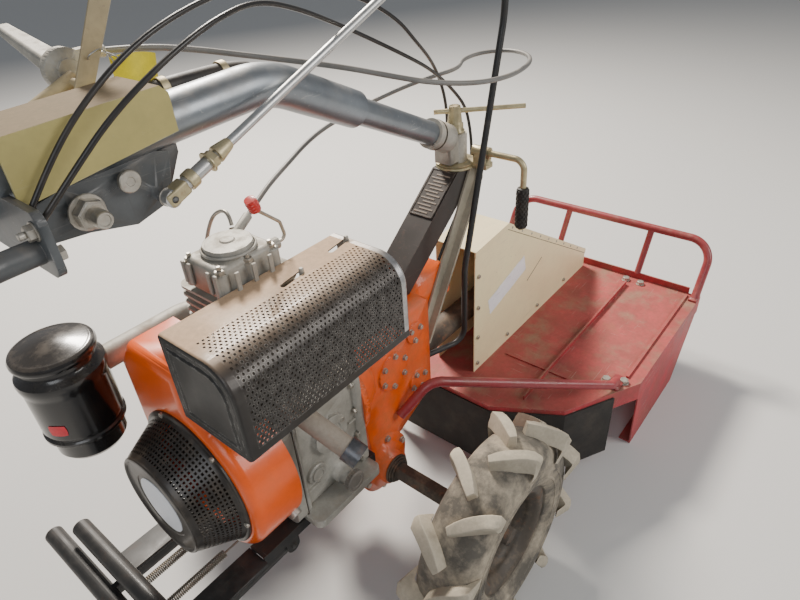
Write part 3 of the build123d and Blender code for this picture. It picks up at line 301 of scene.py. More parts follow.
def surface(name, colour, roughness, metal=0.0, coat=0.0, tone=0.12, tone_size=0.06, dust=0.3,
            dust_colour=DRY_EARTH, dust_size=0.035, settled=0.7, rust=0.0, rust_size=0.02, scratches=0.0,
            scratch_colour=None, grain=0.15, grain_size=0.0015, worn_edges=0.0, edge_colour=(0.35, 0.33, 0.30),
            streak=(1, 1, 1), fade=None, haze=0.35):
    """A worn finish: uneven tone, settled dust, rust spots, scratches, rubbed edges and a fine grain.
    The dust may fade along an axis: (axis, from, to, share at the first place, share at the second)."""
    material = bpy.data.materials.new(name)
    material.use_nodes = True
    tree = material.node_tree
    tree.nodes.clear()

    def put(kind, links=(), **settings):
        """A new node with its settings and its inputs, linked or set."""
        made = tree.nodes.new(kind)
        for key, value in settings.items():
            setattr(made, key, value)
        for socket, value in links:
            if isinstance(value, bpy.types.NodeSocket):
                tree.links.new(value, made.inputs[socket])
            else:
                made.inputs[socket].default_value = value
        return made

    def span(value, low, high, to_low=0.0, to_high=1.0):
        """The value, brought from one span to another."""
        return put("ShaderNodeMapRange", [(0, value), (1, low), (2, high), (3, to_low), (4, to_high)]).outputs[0]

    def times(a, b):
        """The product, kept between 0 and 1."""
        return put("ShaderNodeMath", [(0, a), (1, b)], operation="MULTIPLY", use_clamp=True).outputs[0]

    def blend_colour(amount, a, b):
        """The first colour going over into the second."""
        return put("ShaderNodeMix", [(0, amount), (6, a), (7, b)], data_type="RGBA").outputs[2]

    def rgb(c, strength=1.0):
        """A colour made darker or lighter."""
        return (min(c[0] * strength, 1), min(c[1] * strength, 1), min(c[2] * strength, 1), 1)

    places = put("ShaderNodeTexCoord").outputs

    def clouds(size, detail=5.0, rough=0.6, shift=0.0, stretch=(1, 1, 1)):
        """Uneven patches of a size in metres."""
        moved = put("ShaderNodeMapping", [(0, places["Object"]), (1, (shift, shift * 0.7, -shift)), (3, stretch)])
        return put("ShaderNodeTexNoise", [("Vector", moved.outputs[0]), ("Scale", 1 / size), ("Detail", detail),
                                          ("Roughness", rough)]).outputs[0]

    # tone of the finish, in broad clouds and fine flecks
    broad = span(clouds(tone_size, stretch=streak), 0.32, 0.68)
    shade = blend_colour(broad, rgb(colour, 1 - tone), rgb(colour, 1 + tone))
    flecks = span(clouds(tone_size * 0.14, shift=3.1), 0.4, 0.7, 0.0, tone * 1.6)
    shade = blend_colour(flecks, shade, rgb(colour, 0.6))
    rough_now = span(broad, 0, 1, roughness * 0.85, min(roughness * 1.18, 1))
    metal_now = metal
    # fine scratches both ways
    if scratches:
        lines = span(clouds(0.004, detail=2, shift=7.7, stretch=(0.05, 1.4, 1.0)), 0.66, 0.70)
        cross = span(clouds(0.005, detail=2, shift=1.9, stretch=(1.2, 0.06, 1.0)), 0.67, 0.71)
        marks = put("ShaderNodeMath", [(0, lines), (1, cross)], operation="MAXIMUM").outputs[0]
        marks = times(times(marks, span(clouds(0.09, shift=5.2), 0.42, 0.6)), scratches)
        shade = blend_colour(marks, shade, rgb(scratch_colour or colour, 1.0 if scratch_colour else 1.5))
    # rubbed edges
    if worn_edges:
        rounded = put("ShaderNodeBevel", [("Radius", 0.0018)], samples=4).outputs[0]
        flat = put("ShaderNodeNewGeometry").outputs["Normal"]
        alike = put("ShaderNodeVectorMath", [(0, rounded), (1, flat)], operation="DOT_PRODUCT").outputs["Value"]
        edges = times(span(alike, 0.985, 0.93), span(clouds(0.012, shift=2.3), 0.42, 0.62))
        edges = times(edges, worn_edges)
        shade = blend_colour(edges, shade, rgb(edge_colour))
    # rust spots
    if rust:
        spots = times(span(clouds(rust_size, detail=8, rough=0.7, shift=9.4), 0.56, 0.66), rust)
        rust_shade = blend_colour(clouds(0.004, shift=4.4), rgb(IRON_RUST), rgb(IRON_RUST, 2.6))
        shade = blend_colour(spots, shade, rust_shade)
        rough_now = put("ShaderNodeMix", [(0, spots), (2, rough_now), (3, 0.9)]).outputs[0]
        if metal:
            metal_now = span(spots, 0, 1, metal, 0.0)
    # dust, more of it where the surface faces up
    up = put("ShaderNodeSeparateXYZ", [(0, places["Normal"])]).outputs[2]
    lying = span(up, -0.1, 0.9, 1 - settled, 1.0)
    patches = span(clouds(dust_size, detail=7, rough=0.65, shift=6.1), 0.38, 0.66)
    powder = times(times(lying, patches), dust)
    veil = times(lying, dust * haze)
    cover = put("ShaderNodeMath", [(0, powder), (1, veil)], operation="MAXIMUM").outputs[0]
    if fade:
        along = put("ShaderNodeSeparateXYZ", [(0, places["Object"])]).outputs[fade[0]]
        cover = times(cover, span(along, *fade[1:]))
    earth = blend_colour(clouds(0.006, shift=8.8), rgb(dust_colour, 0.7), rgb(dust_colour, 1.25))
    shade = blend_colour(cover, shade, earth)
    rough_now = put("ShaderNodeMix", [(0, cover), (2, rough_now), (3, 0.92)]).outputs[0]
    if metal and not rust:
        metal_now = span(cover, 0, 1, metal, 0.0)
    # fine grain
    height = clouds(grain_size, detail=3, shift=0.6)
    height = put("ShaderNodeMath", [(0, times(height, grain)), (1, times(cover, 0.35))], operation="ADD").outputs[0]
    bump = put("ShaderNodeBump", [("Strength", 0.35), ("Distance", 0.0006), ("Height", height)]).outputs[0]
    shader = put("ShaderNodeBsdfPrincipled", [("Base Color", shade), ("Roughness", rough_now),
                                              ("Metallic", metal_now), ("Normal", bump),
                                              ("Coat Weight", coat), ("Coat Roughness", 0.12)])
    put("ShaderNodeOutputMaterial", [(0, shader.outputs[0])])
    return material


engine_orange = surface("engine_orange", (1.0, 0.115, 0.0), 0.30, coat=0.3, tone=0.08, dust=0.16, dust_size=0.05,
                        worn_edges=0.35, edge_colour=(0.45, 0.20, 0.08), grain=0.12)
case_orange = surface("case_orange", (1.0, 0.108, 0.0), 0.34, coat=0.25, tone=0.14, tone_size=0.04, dust=0.60,
                      dust_size=0.035, dust_colour=(0.36, 0.19, 0.09), haze=0.2, settled=0.45, worn_edges=0.5,
                      edge_colour=(0.30, 0.24, 0.20), grain=0.6, grain_size=0.003)
frame_black = surface("frame_black", (0.010, 0.011, 0.012), 0.46, coat=0.05, dust=0.24,
                      dust_colour=(0.17, 0.145, 0.12), rust=0.06, worn_edges=0.5, edge_colour=(0.16, 0.12, 0.09),
                      scratches=0.4, scratch_colour=(0.12, 0.11, 0.10))
column_black = surface("column_black", (0.015, 0.011, 0.009), 0.42, coat=0.1, tone=0.3, dust=0.35, haze=0.5,
                       dust_colour=(0.095, 0.060, 0.045), rust=0.1, worn_edges=0.5, edge_colour=(0.16, 0.12, 0.09),
                       scratches=0.4, scratch_colour=(0.14, 0.10, 0.08))
cover_black = surface("cover_black", (0.026, 0.025, 0.025), 0.36, metal=0.30, coat=0.1, tone=0.35, tone_size=0.05,
                      dust=1.0, dust_colour=(0.62, 0.42, 0.26), dust_size=0.10, settled=0.86, worn_edges=0.8,
                      edge_colour=(0.42, 0.40, 0.37), grain=0.25, fade=(1, -0.085, -0.155, 1.0, 0.07), haze=0.8)
cover_edge = surface("cover_edge", (0.42, 0.42, 0.42), 0.30, metal=0.8, tone=0.35, tone_size=0.02, dust=0.75,
                     dust_colour=(0.46, 0.35, 0.25), settled=0.95, grain=0.2, fade=(1, -0.10, -0.16, 1.0, 0.2))
end_black = surface("end_black", (0.009, 0.009, 0.009), 0.46, coat=0.05, tone=0.3, tone_size=0.05, dust=0.14,
                    dust_colour=(0.24, 0.22, 0.19), settled=0.4, dust_size=0.05, worn_edges=0.9,
                    edge_colour=(0.50, 0.48, 0.45), grain=0.1)
deck_red = surface("deck_red", (0.43, 0.022, 0.040), 0.48, tone=0.35, tone_size=0.07, dust=1.0, dust_size=0.10,
                   dust_colour=(0.30, 0.165, 0.110), haze=0.38, rust=0.30, rust_size=0.05, scratches=0.8,
                   scratch_colour=(0.50, 0.30, 0.26), worn_edges=0.7, edge_colour=(0.40, 0.28, 0.24), grain=0.3)
guard_red = surface("guard_red", (0.29, 0.018, 0.032), 0.34, coat=0.2, tone=0.18, dust=0.30, rust=0.18,
                    scratches=0.5, scratch_colour=(0.48, 0.22, 0.20), grain=0.15)
panel_cream = surface("panel_cream", (1.0, 0.84, 0.50), 0.44, tone=0.05, tone_size=0.12, dust=0.26,
                      dust_colour=(0.46, 0.35, 0.22), dust_size=0.08, settled=0.75, scratches=0.35,
                      scratch_colour=(0.40, 0.31, 0.20), worn_edges=0.5, edge_colour=(0.34, 0.27, 0.19))
box_khaki = surface("box_khaki", (0.50, 0.43, 0.15), 0.50, tone=0.10, tone_size=0.07, dust=0.98, haze=0.94,
                    dust_colour=(0.20, 0.14, 0.085), dust_size=0.06, settled=0.93, scratches=0.3,
                    scratch_colour=(0.58, 0.53, 0.34), worn_edges=0.6, edge_colour=(0.55, 0.51, 0.36))
lever_khaki = surface("lever_khaki", (0.42, 0.34, 0.19), 0.55, tone=0.2, dust=0.5, dust_colour=(0.30, 0.22, 0.14),
                      worn_edges=0.7, edge_colour=(0.5, 0.45, 0.36), scratches=0.5, scratch_colour=(0.24, 0.18, 0.12))
strut_grey = surface("strut_grey", (0.34, 0.31, 0.24), 0.50, tone=0.2, dust=0.6, dust_colour=(0.42, 0.35, 0.26),
                     dust_size=0.03, settled=0.5, worn_edges=0.7, edge_colour=(0.5, 0.45, 0.36), scratches=0.4,
                     scratch_colour=(0.20, 0.17, 0.13))
bracket_grey = surface("bracket_grey", (0.075, 0.088, 0.098), 0.40, coat=0.1, tone=0.15, dust=0.35, dust_size=0.05,
                       worn_edges=0.7, edge_colour=(0.36, 0.36, 0.35), scratches=0.5,
                       scratch_colour=(0.24, 0.25, 0.26))
tube_silver = surface("tube_silver", (0.25, 0.28, 0.31), 0.30, metal=0.75, tone=0.14, tone_size=0.1, dust=0.42,
                      dust_colour=(0.40, 0.33, 0.25), dust_size=0.05, settled=0.85, scratches=0.55,
                      scratch_colour=(0.55, 0.55, 0.55))
socket_pale = surface("socket_pale", (0.42, 0.40, 0.36), 0.42, metal=0.3, tone=0.22, tone_size=0.03, dust=0.95,
                      dust_colour=(0.66, 0.58, 0.45), dust_size=0.03, settled=0.8, haze=0.55, grain=0.4,
                      scratches=0.5, scratch_colour=(0.5, 0.5, 0.48))
rod_silver = surface("rod_silver", (0.55, 0.56, 0.56), 0.32, metal=0.85, tone=0.12, tone_size=0.03, dust=0.30,
                     rust=0.10, grain=0.2)
cast_grey = surface("cast_grey", (0.42, 0.41, 0.37), 0.52, metal=0.45, tone=0.18, tone_size=0.03, dust=0.55,
                    dust_colour=(0.34, 0.28, 0.20), dust_size=0.025, settled=0.7, grain=0.9, grain_size=0.0022,
                    worn_edges=0.6, edge_colour=(0.62, 0.61, 0.58))
cast_dark = surface("cast_dark", (0.16, 0.155, 0.145), 0.58, metal=0.35, tone=0.25, tone_size=0.03, dust=0.75,
                    dust_colour=(0.24, 0.18, 0.12), dust_size=0.03, settled=0.4, grain=0.9, grain_size=0.0025,
                    worn_edges=0.5, edge_colour=(0.42, 0.41, 0.38))
zinc_yellow = surface("zinc_yellow", (0.56, 0.49, 0.30), 0.38, metal=0.75, tone=0.18, tone_size=0.02, dust=0.45,
                      rust=0.30, rust_size=0.012, grain=0.3)
iron_dark = surface("iron_dark", (0.045, 0.040, 0.036), 0.62, metal=0.3, tone=0.3, tone_size=0.03, dust=0.65,
                    dust_colour=(0.30, 0.22, 0.15), rust=0.5, settled=0.4, grain=0.8, grain_size=0.002)
hot_steel = surface("hot_steel", (0.24, 0.215, 0.19), 0.55, metal=0.4, tone=0.3, tone_size=0.05, dust=0.85, haze=0.7,
                    dust_colour=(0.56, 0.47, 0.37), rust=0.4, rust_size=0.02, settled=0.5, grain=0.6)
cup_black = surface("cup_black", (0.012, 0.011, 0.011), 0.34, coat=0.1, tone=0.15, dust=0.18, settled=0.6,
                    dust_size=0.02, worn_edges=0.3, edge_colour=(0.10, 0.09, 0.08))
filter_black = surface("filter_black", (0.006, 0.006, 0.007), 0.18, coat=0.4, tone=0.1, dust=0.22, settled=0.9,
                       dust_size=0.045, dust_colour=(0.30, 0.24, 0.18), grain=0.06)
grip_rubber = surface("grip_rubber", (0.010, 0.010, 0.011), 0.55, tone=0.2, dust=0.12, settled=0.4, grain=0.5)
skirt_rubber = surface("skirt_rubber", (0.012, 0.012, 0.012), 0.75, tone=0.25, dust=0.35,
                       dust_colour=(0.14, 0.11, 0.085), settled=0.2, dust_size=0.07, grain=0.6)
cable_black = surface("cable_black", (0.008, 0.008, 0.009), 0.36, coat=0.1, tone=0.15, dust=0.10, settled=0.6,
                      grain=0.1)
cable_grey = surface("cable_grey", (0.17, 0.17, 0.165), 0.42, tone=0.15, dust=0.35, settled=0.7, grain=0.15)
tyre_rubber = surface("tyre_rubber", (0.055, 0.052, 0.047), 0.78, tone=0.3, tone_size=0.05, dust=0.92,
                      dust_colour=(0.47, 0.40, 0.30), dust_size=0.055, settled=0.1, haze=0.16, grain=0.8,
                      grain_size=0.0022, worn_edges=0.8, edge_colour=(0.38, 0.33, 0.26))
rim_black = surface("rim_black", (0.016, 0.016, 0.016), 0.5, tone=0.2, dust=0.45, dust_size=0.03, settled=0.2,
                    rust=0.4, worn_edges=0.6, edge_colour=(0.22, 0.16, 0.12))
bolt_zinc = surface("bolt_zinc", (0.50, 0.48, 0.43), 0.36, metal=0.8, tone=0.15, tone_size=0.01, dust=0.45,
                    dust_size=0.008, settled=0.5, rust=0.2, rust_size=0.006, grain=0.2)
knob_red = surface("knob_red", (0.62, 0.012, 0.015), 0.30, coat=0.3, tone=0.1, dust=0.15, grain=0.05)
tag_yellow = surface("tag_yellow", (0.90, 0.74, 0.01), 0.42, tone=0.12, tone_size=0.02, dust=0.30, grain=0.1)
plate_blank = surface("plate_blank", (0.86, 0.88, 0.93), 0.38, tone=0.04, dust=0.15, grain=0.05)
lug_dust = surface("lug_dust", (0.30, 0.27, 0.215), 0.88, tone=0.25, tone_size=0.03, dust=0.95, haze=0.6,
                   dust_colour=(0.64, 0.555, 0.42), dust_size=0.05, settled=0.45, grain=1.0, grain_size=0.003,
                   worn_edges=0.8, edge_colour=(0.52, 0.46, 0.36))
gasket_dark = surface("gasket_dark", (0.012, 0.011, 0.010), 0.8, tone=0.3, dust=0.35, settled=0.4, grain=0.4)
collar_steel = surface("collar_steel", (0.10, 0.11, 0.13), 0.34, metal=0.8, tone=0.35, tone_size=0.02, dust=0.35,
                       dust_colour=(0.40, 0.34, 0.26), settled=0.8, rust=0.2, grain=0.3)
spring_steel = surface("spring_steel", (0.20, 0.18, 0.15), 0.40, metal=0.7, tone=0.3, tone_size=0.006, dust=0.35,
                       settled=0.6, rust=0.3, rust_size=0.008)
plate_brown = surface("plate_brown", (0.030, 0.021, 0.016), 0.45, coat=0.1, tone=0.25, dust=0.35,
                      dust_colour=(0.11, 0.070, 0.052), settled=0.8, worn_edges=0.8, edge_colour=(0.34, 0.28, 0.22))
slot_brown = surface("slot_brown", (0.26, 0.20, 0.155), 0.5, tone=0.25, tone_size=0.01, dust=0.35, grain=0.3,
                     worn_edges=0.6, edge_colour=(0.42, 0.36, 0.30))
sticker_red = surface("sticker_red", (0.82, 0.012, 0.035), 0.35, tone=0.12, tone_size=0.01, dust=0.2, grain=0.1)
sticker_white = surface("sticker_white", (0.98, 0.97, 1.0), 0.40, tone=0.06, tone_size=0.02, dust=0.12, settled=0.9,
                        scratches=0.8, scratch_colour=(0.62, 0.42, 0.46), grain=0.1)
node_finish = {
    "engine_block": cast_grey, "cylinder": cast_grey, "rocker_cover": cast_grey, "blower_housing": engine_orange,
    "recoil_starter": cup_black, "muffler": hot_steel, "muffler_cover": cover_black, "exhaust_pipe": hot_steel,
    "air_filter": filter_black, "intake_elbow": cast_grey, "base_frame": frame_black, "bumper": frame_black,
    "stand": frame_black, "gearbox": case_orange, "axle_left": iron_dark, "axle_right": iron_dark,
    "rim_left": rim_black, "rim_right": rim_black, "tyre_left": tyre_rubber, "tyre_right": tyre_rubber,
    "column": column_black, "column_struts": strut_grey, "clamp_head": zinc_yellow, "clamp_t_bolt": zinc_yellow,
    "clamp_lever": zinc_yellow, "clamp_lever_grip": grip_rubber, "handle_socket": socket_pale,
    "handle_tube_front": tube_silver, "handle_tube_rear": tube_silver, "lever_box": box_khaki,
    "handle_bracket": bracket_grey, "handle_arm_left": bracket_grey, "handle_arm_right": bracket_grey,
    "grip_left": grip_rubber, "grip_right": grip_rubber, "gear_rod": frame_black, "silver_rod": rod_silver,
    "mower_deck": deck_red, "deck_guard": guard_red, "rubber_skirt": skirt_rubber, "drive_cover": panel_cream,
    "drive_case": iron_dark, "mower_rotor": iron_dark, "brace_left": guard_red, "brace_right": guard_red,
    "flywheel": iron_dark, "decompression_lever": bolt_zinc, "hand_lever": lever_khaki, "lever_bracket": cast_grey,
    "link_tube": lever_khaki}
# nodes that only take paint: flat ones, and those that a finished piece below stands in for
painted_only = ("recoil_starter", "muffler_cover", "air_filter", "base_frame", "tyre_left", "tyre_right", "column",
                "column_struts", "clamp_lever_grip", "lever_box", "grip_left", "grip_right", "mower_deck",
                "rubber_skirt", "drive_cover", "mower_rotor")


def dressed_copy(label, body, material, angle=32, name=None):
    """A copy of the node's shape with its curves smoothed, shown in the node's place."""
    node = frame["nodes"][label]
    copy = node.copy()
    copy.data = node.data.copy()
    for key in list(copy.keys()):
        del copy[key]
    copy.parent = None
    bpy.context.scene.collection.objects.link(copy)
    copy.name = name or label + "_finished"
    copy.hide_render = False
    copy.hide_viewport = False
    open_all(copy)
    bpy.ops.mesh.remove_doubles(threshold=0.00001)
    shut()
    return mount(copy, body, material, (label,), angle)


body_of = {node: body for body, nodes in frame["record"]["behaviour"]["bodies"].items() for node in nodes}
for label, material in node_finish.items():
    if label in painted_only:
        node = frame["nodes"][label]
        node.data.materials.clear()
        node.data.materials.append(material)
    else:
        dressed_copy(label, body_of[label], material)


# Cables

def cable(name, route, diameter, material):
    """A free cable along its route, shown in place of the cable's upper and lower parts."""
    piece = smooth_line(name, route)
    centre = bpy.data.meshes.new_from_object(piece)
    bpy.data.meshes.remove(centre)
    piece = round_out(piece, diameter / 2, 3)
    smooth(piece, 50)
    piece.data.materials.append(material)
    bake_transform(piece)
    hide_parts(f"{name}_upper", f"{name}_lower")


throttle_route = ((-224, 96, 1006), (-172, 98, 1000), (-114, 87, 987), (-55, 58, 970), (4, 24, 953), (60, -18, 936),
                  (99, -60, 921), (145, -98, 905), (222, -127, 889), (303, -137, 882), (385, -125, 880),
                  (452, -93, 877), (496, -50, 873), (516, -4, 869), (496, 40, 865), (450, 55, 860), (406, 32, 855),
                  (357, 60, 848), (314, 92, 836), (258, 118, 822), (200, 134, 810), (142, 140, 800), (84, 128, 792),
                  (26, 106, 784), (-34, 84, 776), (-78, 67, 765), (-108, 55, 757))
cable("throttle_cable", throttle_route, 0.008, cable_grey)
right_clutch_route = ((-409.4, -75, 912), (-372, -79, 944), (-322, -85, 985), (-255, -90, 1022), (-190, -84, 1044),
                      (-120, -64, 1050), (-50, -45, 1032), (28, -28, 1002), (110, -16, 966), (190, -20, 925),
                      (255, -10, 893), (310, 4, 862), (358, 11, 828), (394, 9, 790), (401, 3, 748), (399, -3, 702),
                      (386, -7, 656), (353, -9, 610), (312, -11, 570), (281, -12, 536), (266.4, -12, 518.2))
cable("clutch_cable_right", right_clutch_route, 0.006, cable_black)
left_clutch_route = ((-409.4, -54, 916), (-378, -53, 952), (-328, -54, 996), (-258, -48, 1034), (-178, -38, 1055),
                     (-95, -24, 1062), (-12, -12, 1054), (64, -6, 1034), (132, -2, 1010), (190, -6, 976),
                     (236, 0, 938), (287, 14, 903), (331, 30, 868), (362, 38, 826), (378, 42, 784), (382, 44, 742),
                     (384, 45, 700), (377, 38, 656), (352, 24, 610), (312, 19, 570), (281, 15, 536),
                     (266.4, 14, 518.2))
cable("clutch_cable_left", left_clutch_route, 0.006, cable_black)


# Perforated cover over the muffler

def hole_cell(wide, tall, hole):
    """A small flat plate with a six-sided hole in its middle."""
    clear_bench()
    bpy.ops.mesh.primitive_circle_add(vertices=6, radius=0.01, fill_type="NGON", location=(0, 0, 0))
    cell = bpy.context.object
    corners = ((-1, -1), (0, -1), (1, -1), (1, 1), (0, 1), (-1, 1))
    order = sorted(cell.data.vertices, key=lambda v: math.atan2(v.co.y, v.co.x))
    for vertex, (across, up) in zip(order, corners):
        vertex.co = (across * wide / 2, up * tall / 2, 0)
    bpy.ops.object.mode_set(mode="EDIT")
    bpy.ops.mesh.select_mode(type="FACE")
    bpy.ops.mesh.select_all(action="SELECT")
    inset((0.0008, 0))
    shape = bmesh.from_edit_mesh(cell.data)
    for vertex in shape.verts:
        if vertex.select:
            turn = math.atan2(vertex.co.y, vertex.co.x)
            vertex.co = Vector((math.cos(turn), math.sin(turn), 0)) * hole
    bmesh.update_edit_mesh(cell.data)
    bpy.ops.mesh.delete(type="FACE")
    shut()
    return cell


def flat_plate(name, low, high):
    """A flat plate between two corners in the floor plane."""
    clear_bench()
    bpy.ops.mesh.primitive_plane_add(size=1, location=((low[0] + high[0]) / 2, (low[1] + high[1]) / 2, 0))
    bpy.context.object.scale = (high[0] - low[0], high[1] - low[1], 1)
    return settle(bpy.context.object, name)


def repeat(piece, count, step):
    """Repeats a piece along a step, joined where the copies touch."""
    take(piece)
    row = piece.modifiers.new("row", "ARRAY")
    row.count = count
    row.use_relative_offset = False
    row.use_constant_offset = True
    row.constant_offset_displace = step
    row.use_merge_vertices = True
    row.merge_threshold = 0.00005
    bpy.ops.object.modifier_apply(modifier=row.name)


# the cover's window, the fold between its top and its side, the top's inner edge, the rear plate, and the wall with a
# little over
window_low_x, window_high_x = -0.315, -0.033
window_top_y, window_low_z = -0.088, 0.592
fold_y, fold_z, fold_r = -0.124, 0.670, 0.046
top_edge_y, rear_plate_x, cover_wall = -0.034, -0.3285, 0.0026


def perforated_side():
    """The folded sheet with its staggered holes: over the top's outer part, round the corner and down the side."""
    columns, pairs, hole = 39, 15, 0.00205
    fold_start = top_edge_y - fold_y
    corner_run = fold_r * math.pi / 2
    start = top_edge_y - window_top_y
    run = fold_start + corner_run + (fold_z - window_low_z) - start
    wide = (window_high_x - window_low_x) / columns
    tall = run / pairs / 2
    cell = hole_cell(wide, tall, hole)
    offset_row = another(cell, (wide, tall * 1.5, 0))
    cell.data.transform(Matrix.Translation((wide / 2, tall / 2, 0)))
    repeat(cell, columns, (wide, 0, 0))
    repeat(offset_row, columns - 1, (wide, 0, 0))
    first_end = flat_plate("first_end", (0, tall), (wide / 2, tall * 2))
    last_end = flat_plate("last_end", (wide * (columns - 0.5), tall), (wide * columns, tall * 2))
    sheet = weld("perforated_side", [cell, offset_row, first_end, last_end])
    close_doubles(sheet)
    repeat(sheet, pairs, (0, tall * 2, 0))
    for vertex in sheet.data.vertices:
        along, down = vertex.co.x, vertex.co.y + start
        if down <= fold_start:
            place = (top_edge_y - down, fold_z + fold_r)
        elif down <= fold_start + corner_run:
            turn = (down - fold_start) / fold_r
            place = (fold_y - fold_r * math.sin(turn), fold_z + fold_r * math.cos(turn))
        else:
            place = (fold_y - fold_r, fold_z - (down - fold_start - corner_run))
        vertex.co = (window_low_x + along, *place)
    close_doubles(sheet)
    middle = sheet.data.polygons[len(sheet.data.polygons) // 2]
    if middle.normal.y > 0 or middle.normal.z < -0.5:
        open_all(sheet)
        bpy.ops.mesh.flip_normals()
        shut()
    thicken(sheet, 0.0016)
    mount(sheet, CHASSIS, cover_black, ("muffler_cover",), 30)


def cover_shell():
    """The folded cover with the window for the perforated sheet cut out of it."""
    shell = dressed_copy("muffler_cover", CHASSIS, cover_black, 30, "muffler_cover_shell")
    for place, across in (((window_low_x, 0, 0), FRONT), ((window_high_x, 0, 0), FRONT),
                          ((0, window_top_y, 0), LEFT), ((0, 0, window_low_z), UP)):
        open_all(shell)
        bpy.ops.mesh.bisect(plane_co=place, plane_no=across)
        shut()

    def in_window(middle, normal):
        """Faces of the top, the fold and the side that the perforated sheet takes the place of."""
        if not window_low_x < middle.x < window_high_x:
            return False
        outer = math.hypot(middle.y - fold_y, middle.z - fold_z) > fold_r - cover_wall
        corner = middle.y < fold_y and middle.z > fold_z and outer
        top = middle.z > fold_z + fold_r - cover_wall and fold_y <= middle.y < window_top_y
        side = middle.y < fold_y - fold_r + cover_wall and window_low_z < middle.z <= fold_z
        return corner or top or side

    open_faces(shell, in_window)
    bpy.ops.mesh.delete(type="FACE")
    shut()
    smooth(shell, 30)
    shell.data.materials.append(cover_edge)
    shell.data.materials.append(end_black)
    for face in shell.data.polygons:
        if face.center.x > window_high_x and face.center.z > window_low_z - 0.002:
            face.material_index = 1
        if face.center.x < rear_plate_x and abs(face.normal.x) > 0.7:
            face.material_index = 2


def cover_end_panel():
    """The pressed outline on the cover's rear end plate, with one corner cut round like the fold."""
    half, middle_y, middle_z = 0.062, -0.102, 0.648
    panel = flat_plate("cover_end_panel", (-half, -half), (half, half))
    panel.data.transform(Matrix.Translation((rear_plate_x - 0.0018, middle_y, middle_z))
                         @ Matrix.Rotation(-math.pi / 2, 4, "Y"))
    take(panel)
    bpy.ops.object.mode_set(mode="EDIT")
    bpy.ops.mesh.select_mode(type="VERT")
    bpy.ops.mesh.select_all(action="DESELECT")
    shape = bmesh.from_edit_mesh(panel.data)
    for vertex in shape.verts:
        vertex.select_set(vertex.co.y < middle_y and vertex.co.z > middle_z)
    shape.select_flush(True)
    bmesh.update_edit_mesh(panel.data)
    bpy.ops.mesh.bevel(offset=0.040, segments=8, affect="VERTICES")
    bpy.ops.mesh.select_mode(type="FACE")
    bpy.ops.mesh.select_all(action="SELECT")
    bpy.ops.mesh.normals_make_consistent(inside=False)
    shape = bmesh.from_edit_mesh(panel.data)
    if next(iter(shape.faces)).normal.x > 0:
        bpy.ops.mesh.flip_normals()
    inset((0.007, 0), (0.003, 0.0022), (0.002, 0), (0.003, -0.0016), (0.012, -0.0002))
    shut()
    thicken(panel, 0.0006)
    mount(panel, CHASSIS, end_black, (), 20)


perforated_side()
cover_shell()
cover_end_panel()

# dusty clamp posts in the two slots
post = turned("post", [(0, 7), (2.4, 6.6), (3.6, 5), (3.9, 2), (3.9, -9), (0, -9)], (0, 0, 0), steps=14)
posts = [another(post, mm(x, y, 716)) for x, y in ((-131, -75.5), (-29, -63.5))]
scrap(post)
mount(weld("slot_posts", posts), CHASSIS, cast_grey)


# Recoil starter's cup

def starter_cup():
    """The perforated cup of the recoil starter, with its thick lip and flat face."""
    rows, band_low, band_high = 9, (109.5, 8.0), (86.0, 58.0)
    outline = [(118, 0), (118, 2.6), (116.5, 3.6), (113, 4.0), (111.5, 5.0)]
    for row in range(rows + 1):
        share = row / rows
        outline.append((band_low[0] + (band_high[0] - band_low[0]) * share,
                        band_low[1] + (band_high[1] - band_low[1]) * share))
    outline += [(83.6, 62), (83.4, 65), (82, 67), (79.5, 67.6), (77.5, 66.6), (76, 64.8), (73, 64.3), (54, 64.3),
                (52.5, 63.2), (0, 63.2)]
    foot_x = -328.3
    cup = turned("starter_cup", outline, mm(foot_x, 0, STARTER_Z), REAR, 96)

    def in_band(middle, normal):
        """Faces of the cup's sloping wall, where the air slots are."""
        height = foot_x / 1000 - middle.x
        return 0.0081 < height < 0.0579 and abs(normal.x) < 0.8

    open_faces(cup, in_band)
    inset((0.00135, 0), each=True)
    bpy.ops.mesh.delete(type="FACE")
    shut()
    thicken(cup, 0.0022)
    mount(cup, CHASSIS, cup_black, ("recoil_starter",), 30)
    disc = turned("starter_disc", [(47, -0.6), (47, 0.7), (46.4, 1.1), (0, 1.1)], mm(-391.5, 0, STARTER_Z), REAR, 64)
    mount(disc, CHASSIS, plate_blank)


starter_cup()


# Bolts, nuts and screws

hex_head = round_blank("hex_head", 0.0075, 0.0055, (0, 0, 0.00425), 6)
open_faces(hex_head, lambda middle, normal: normal.z > 0.9)
inset((0.0008, 0))
bpy.ops.mesh.extrude_region_shrink_fatten(TRANSFORM_OT_shrink_fatten={"value": 0.0005})
shut()
washer = soften(round_blank("washer", 0.0088, 0.0015, (0, 0, 0.00075), 20), 0.0003, 1)
hex_bolt = soften(weld("hex_bolt", [hex_head, washer]), 0.0003, 1, 50)
stud = soften(round_blank("stud", 0.0034, 0.006, (0, 0, 0.0105), 12), 0.0008, 1, 40)
stud_nut = weld("stud_nut", [another(hex_bolt), stud])
socket_screw = turned("socket_screw", [(0, 1.6), (2.4, 1.6), (2.8, 4.4), (4.4, 4.6), (5, 4), (5, 0), (0, 0)], (0, 0, 0),
                      steps=16)


def sized(master, factor, place, toward, roll=0.0):
    """A copy of a fastener at another size."""
    copy = another(master)
    copy.data.transform(Matrix.Translation(place) @ tilt_to(toward, roll).to_matrix().to_4x4()
                        @ Matrix.Scale(factor, 4))
    return copy


def fasten(name, body, rows):
    """One piece of many fasteners: each row is a master, a size, a place in millimetres and its direction."""
    made = [sized(master, factor, mm(*place), toward, 0.3 * number)
            for number, (master, factor, place, toward) in enumerate(rows)]
    mount(weld(name, made), body, bolt_zinc)


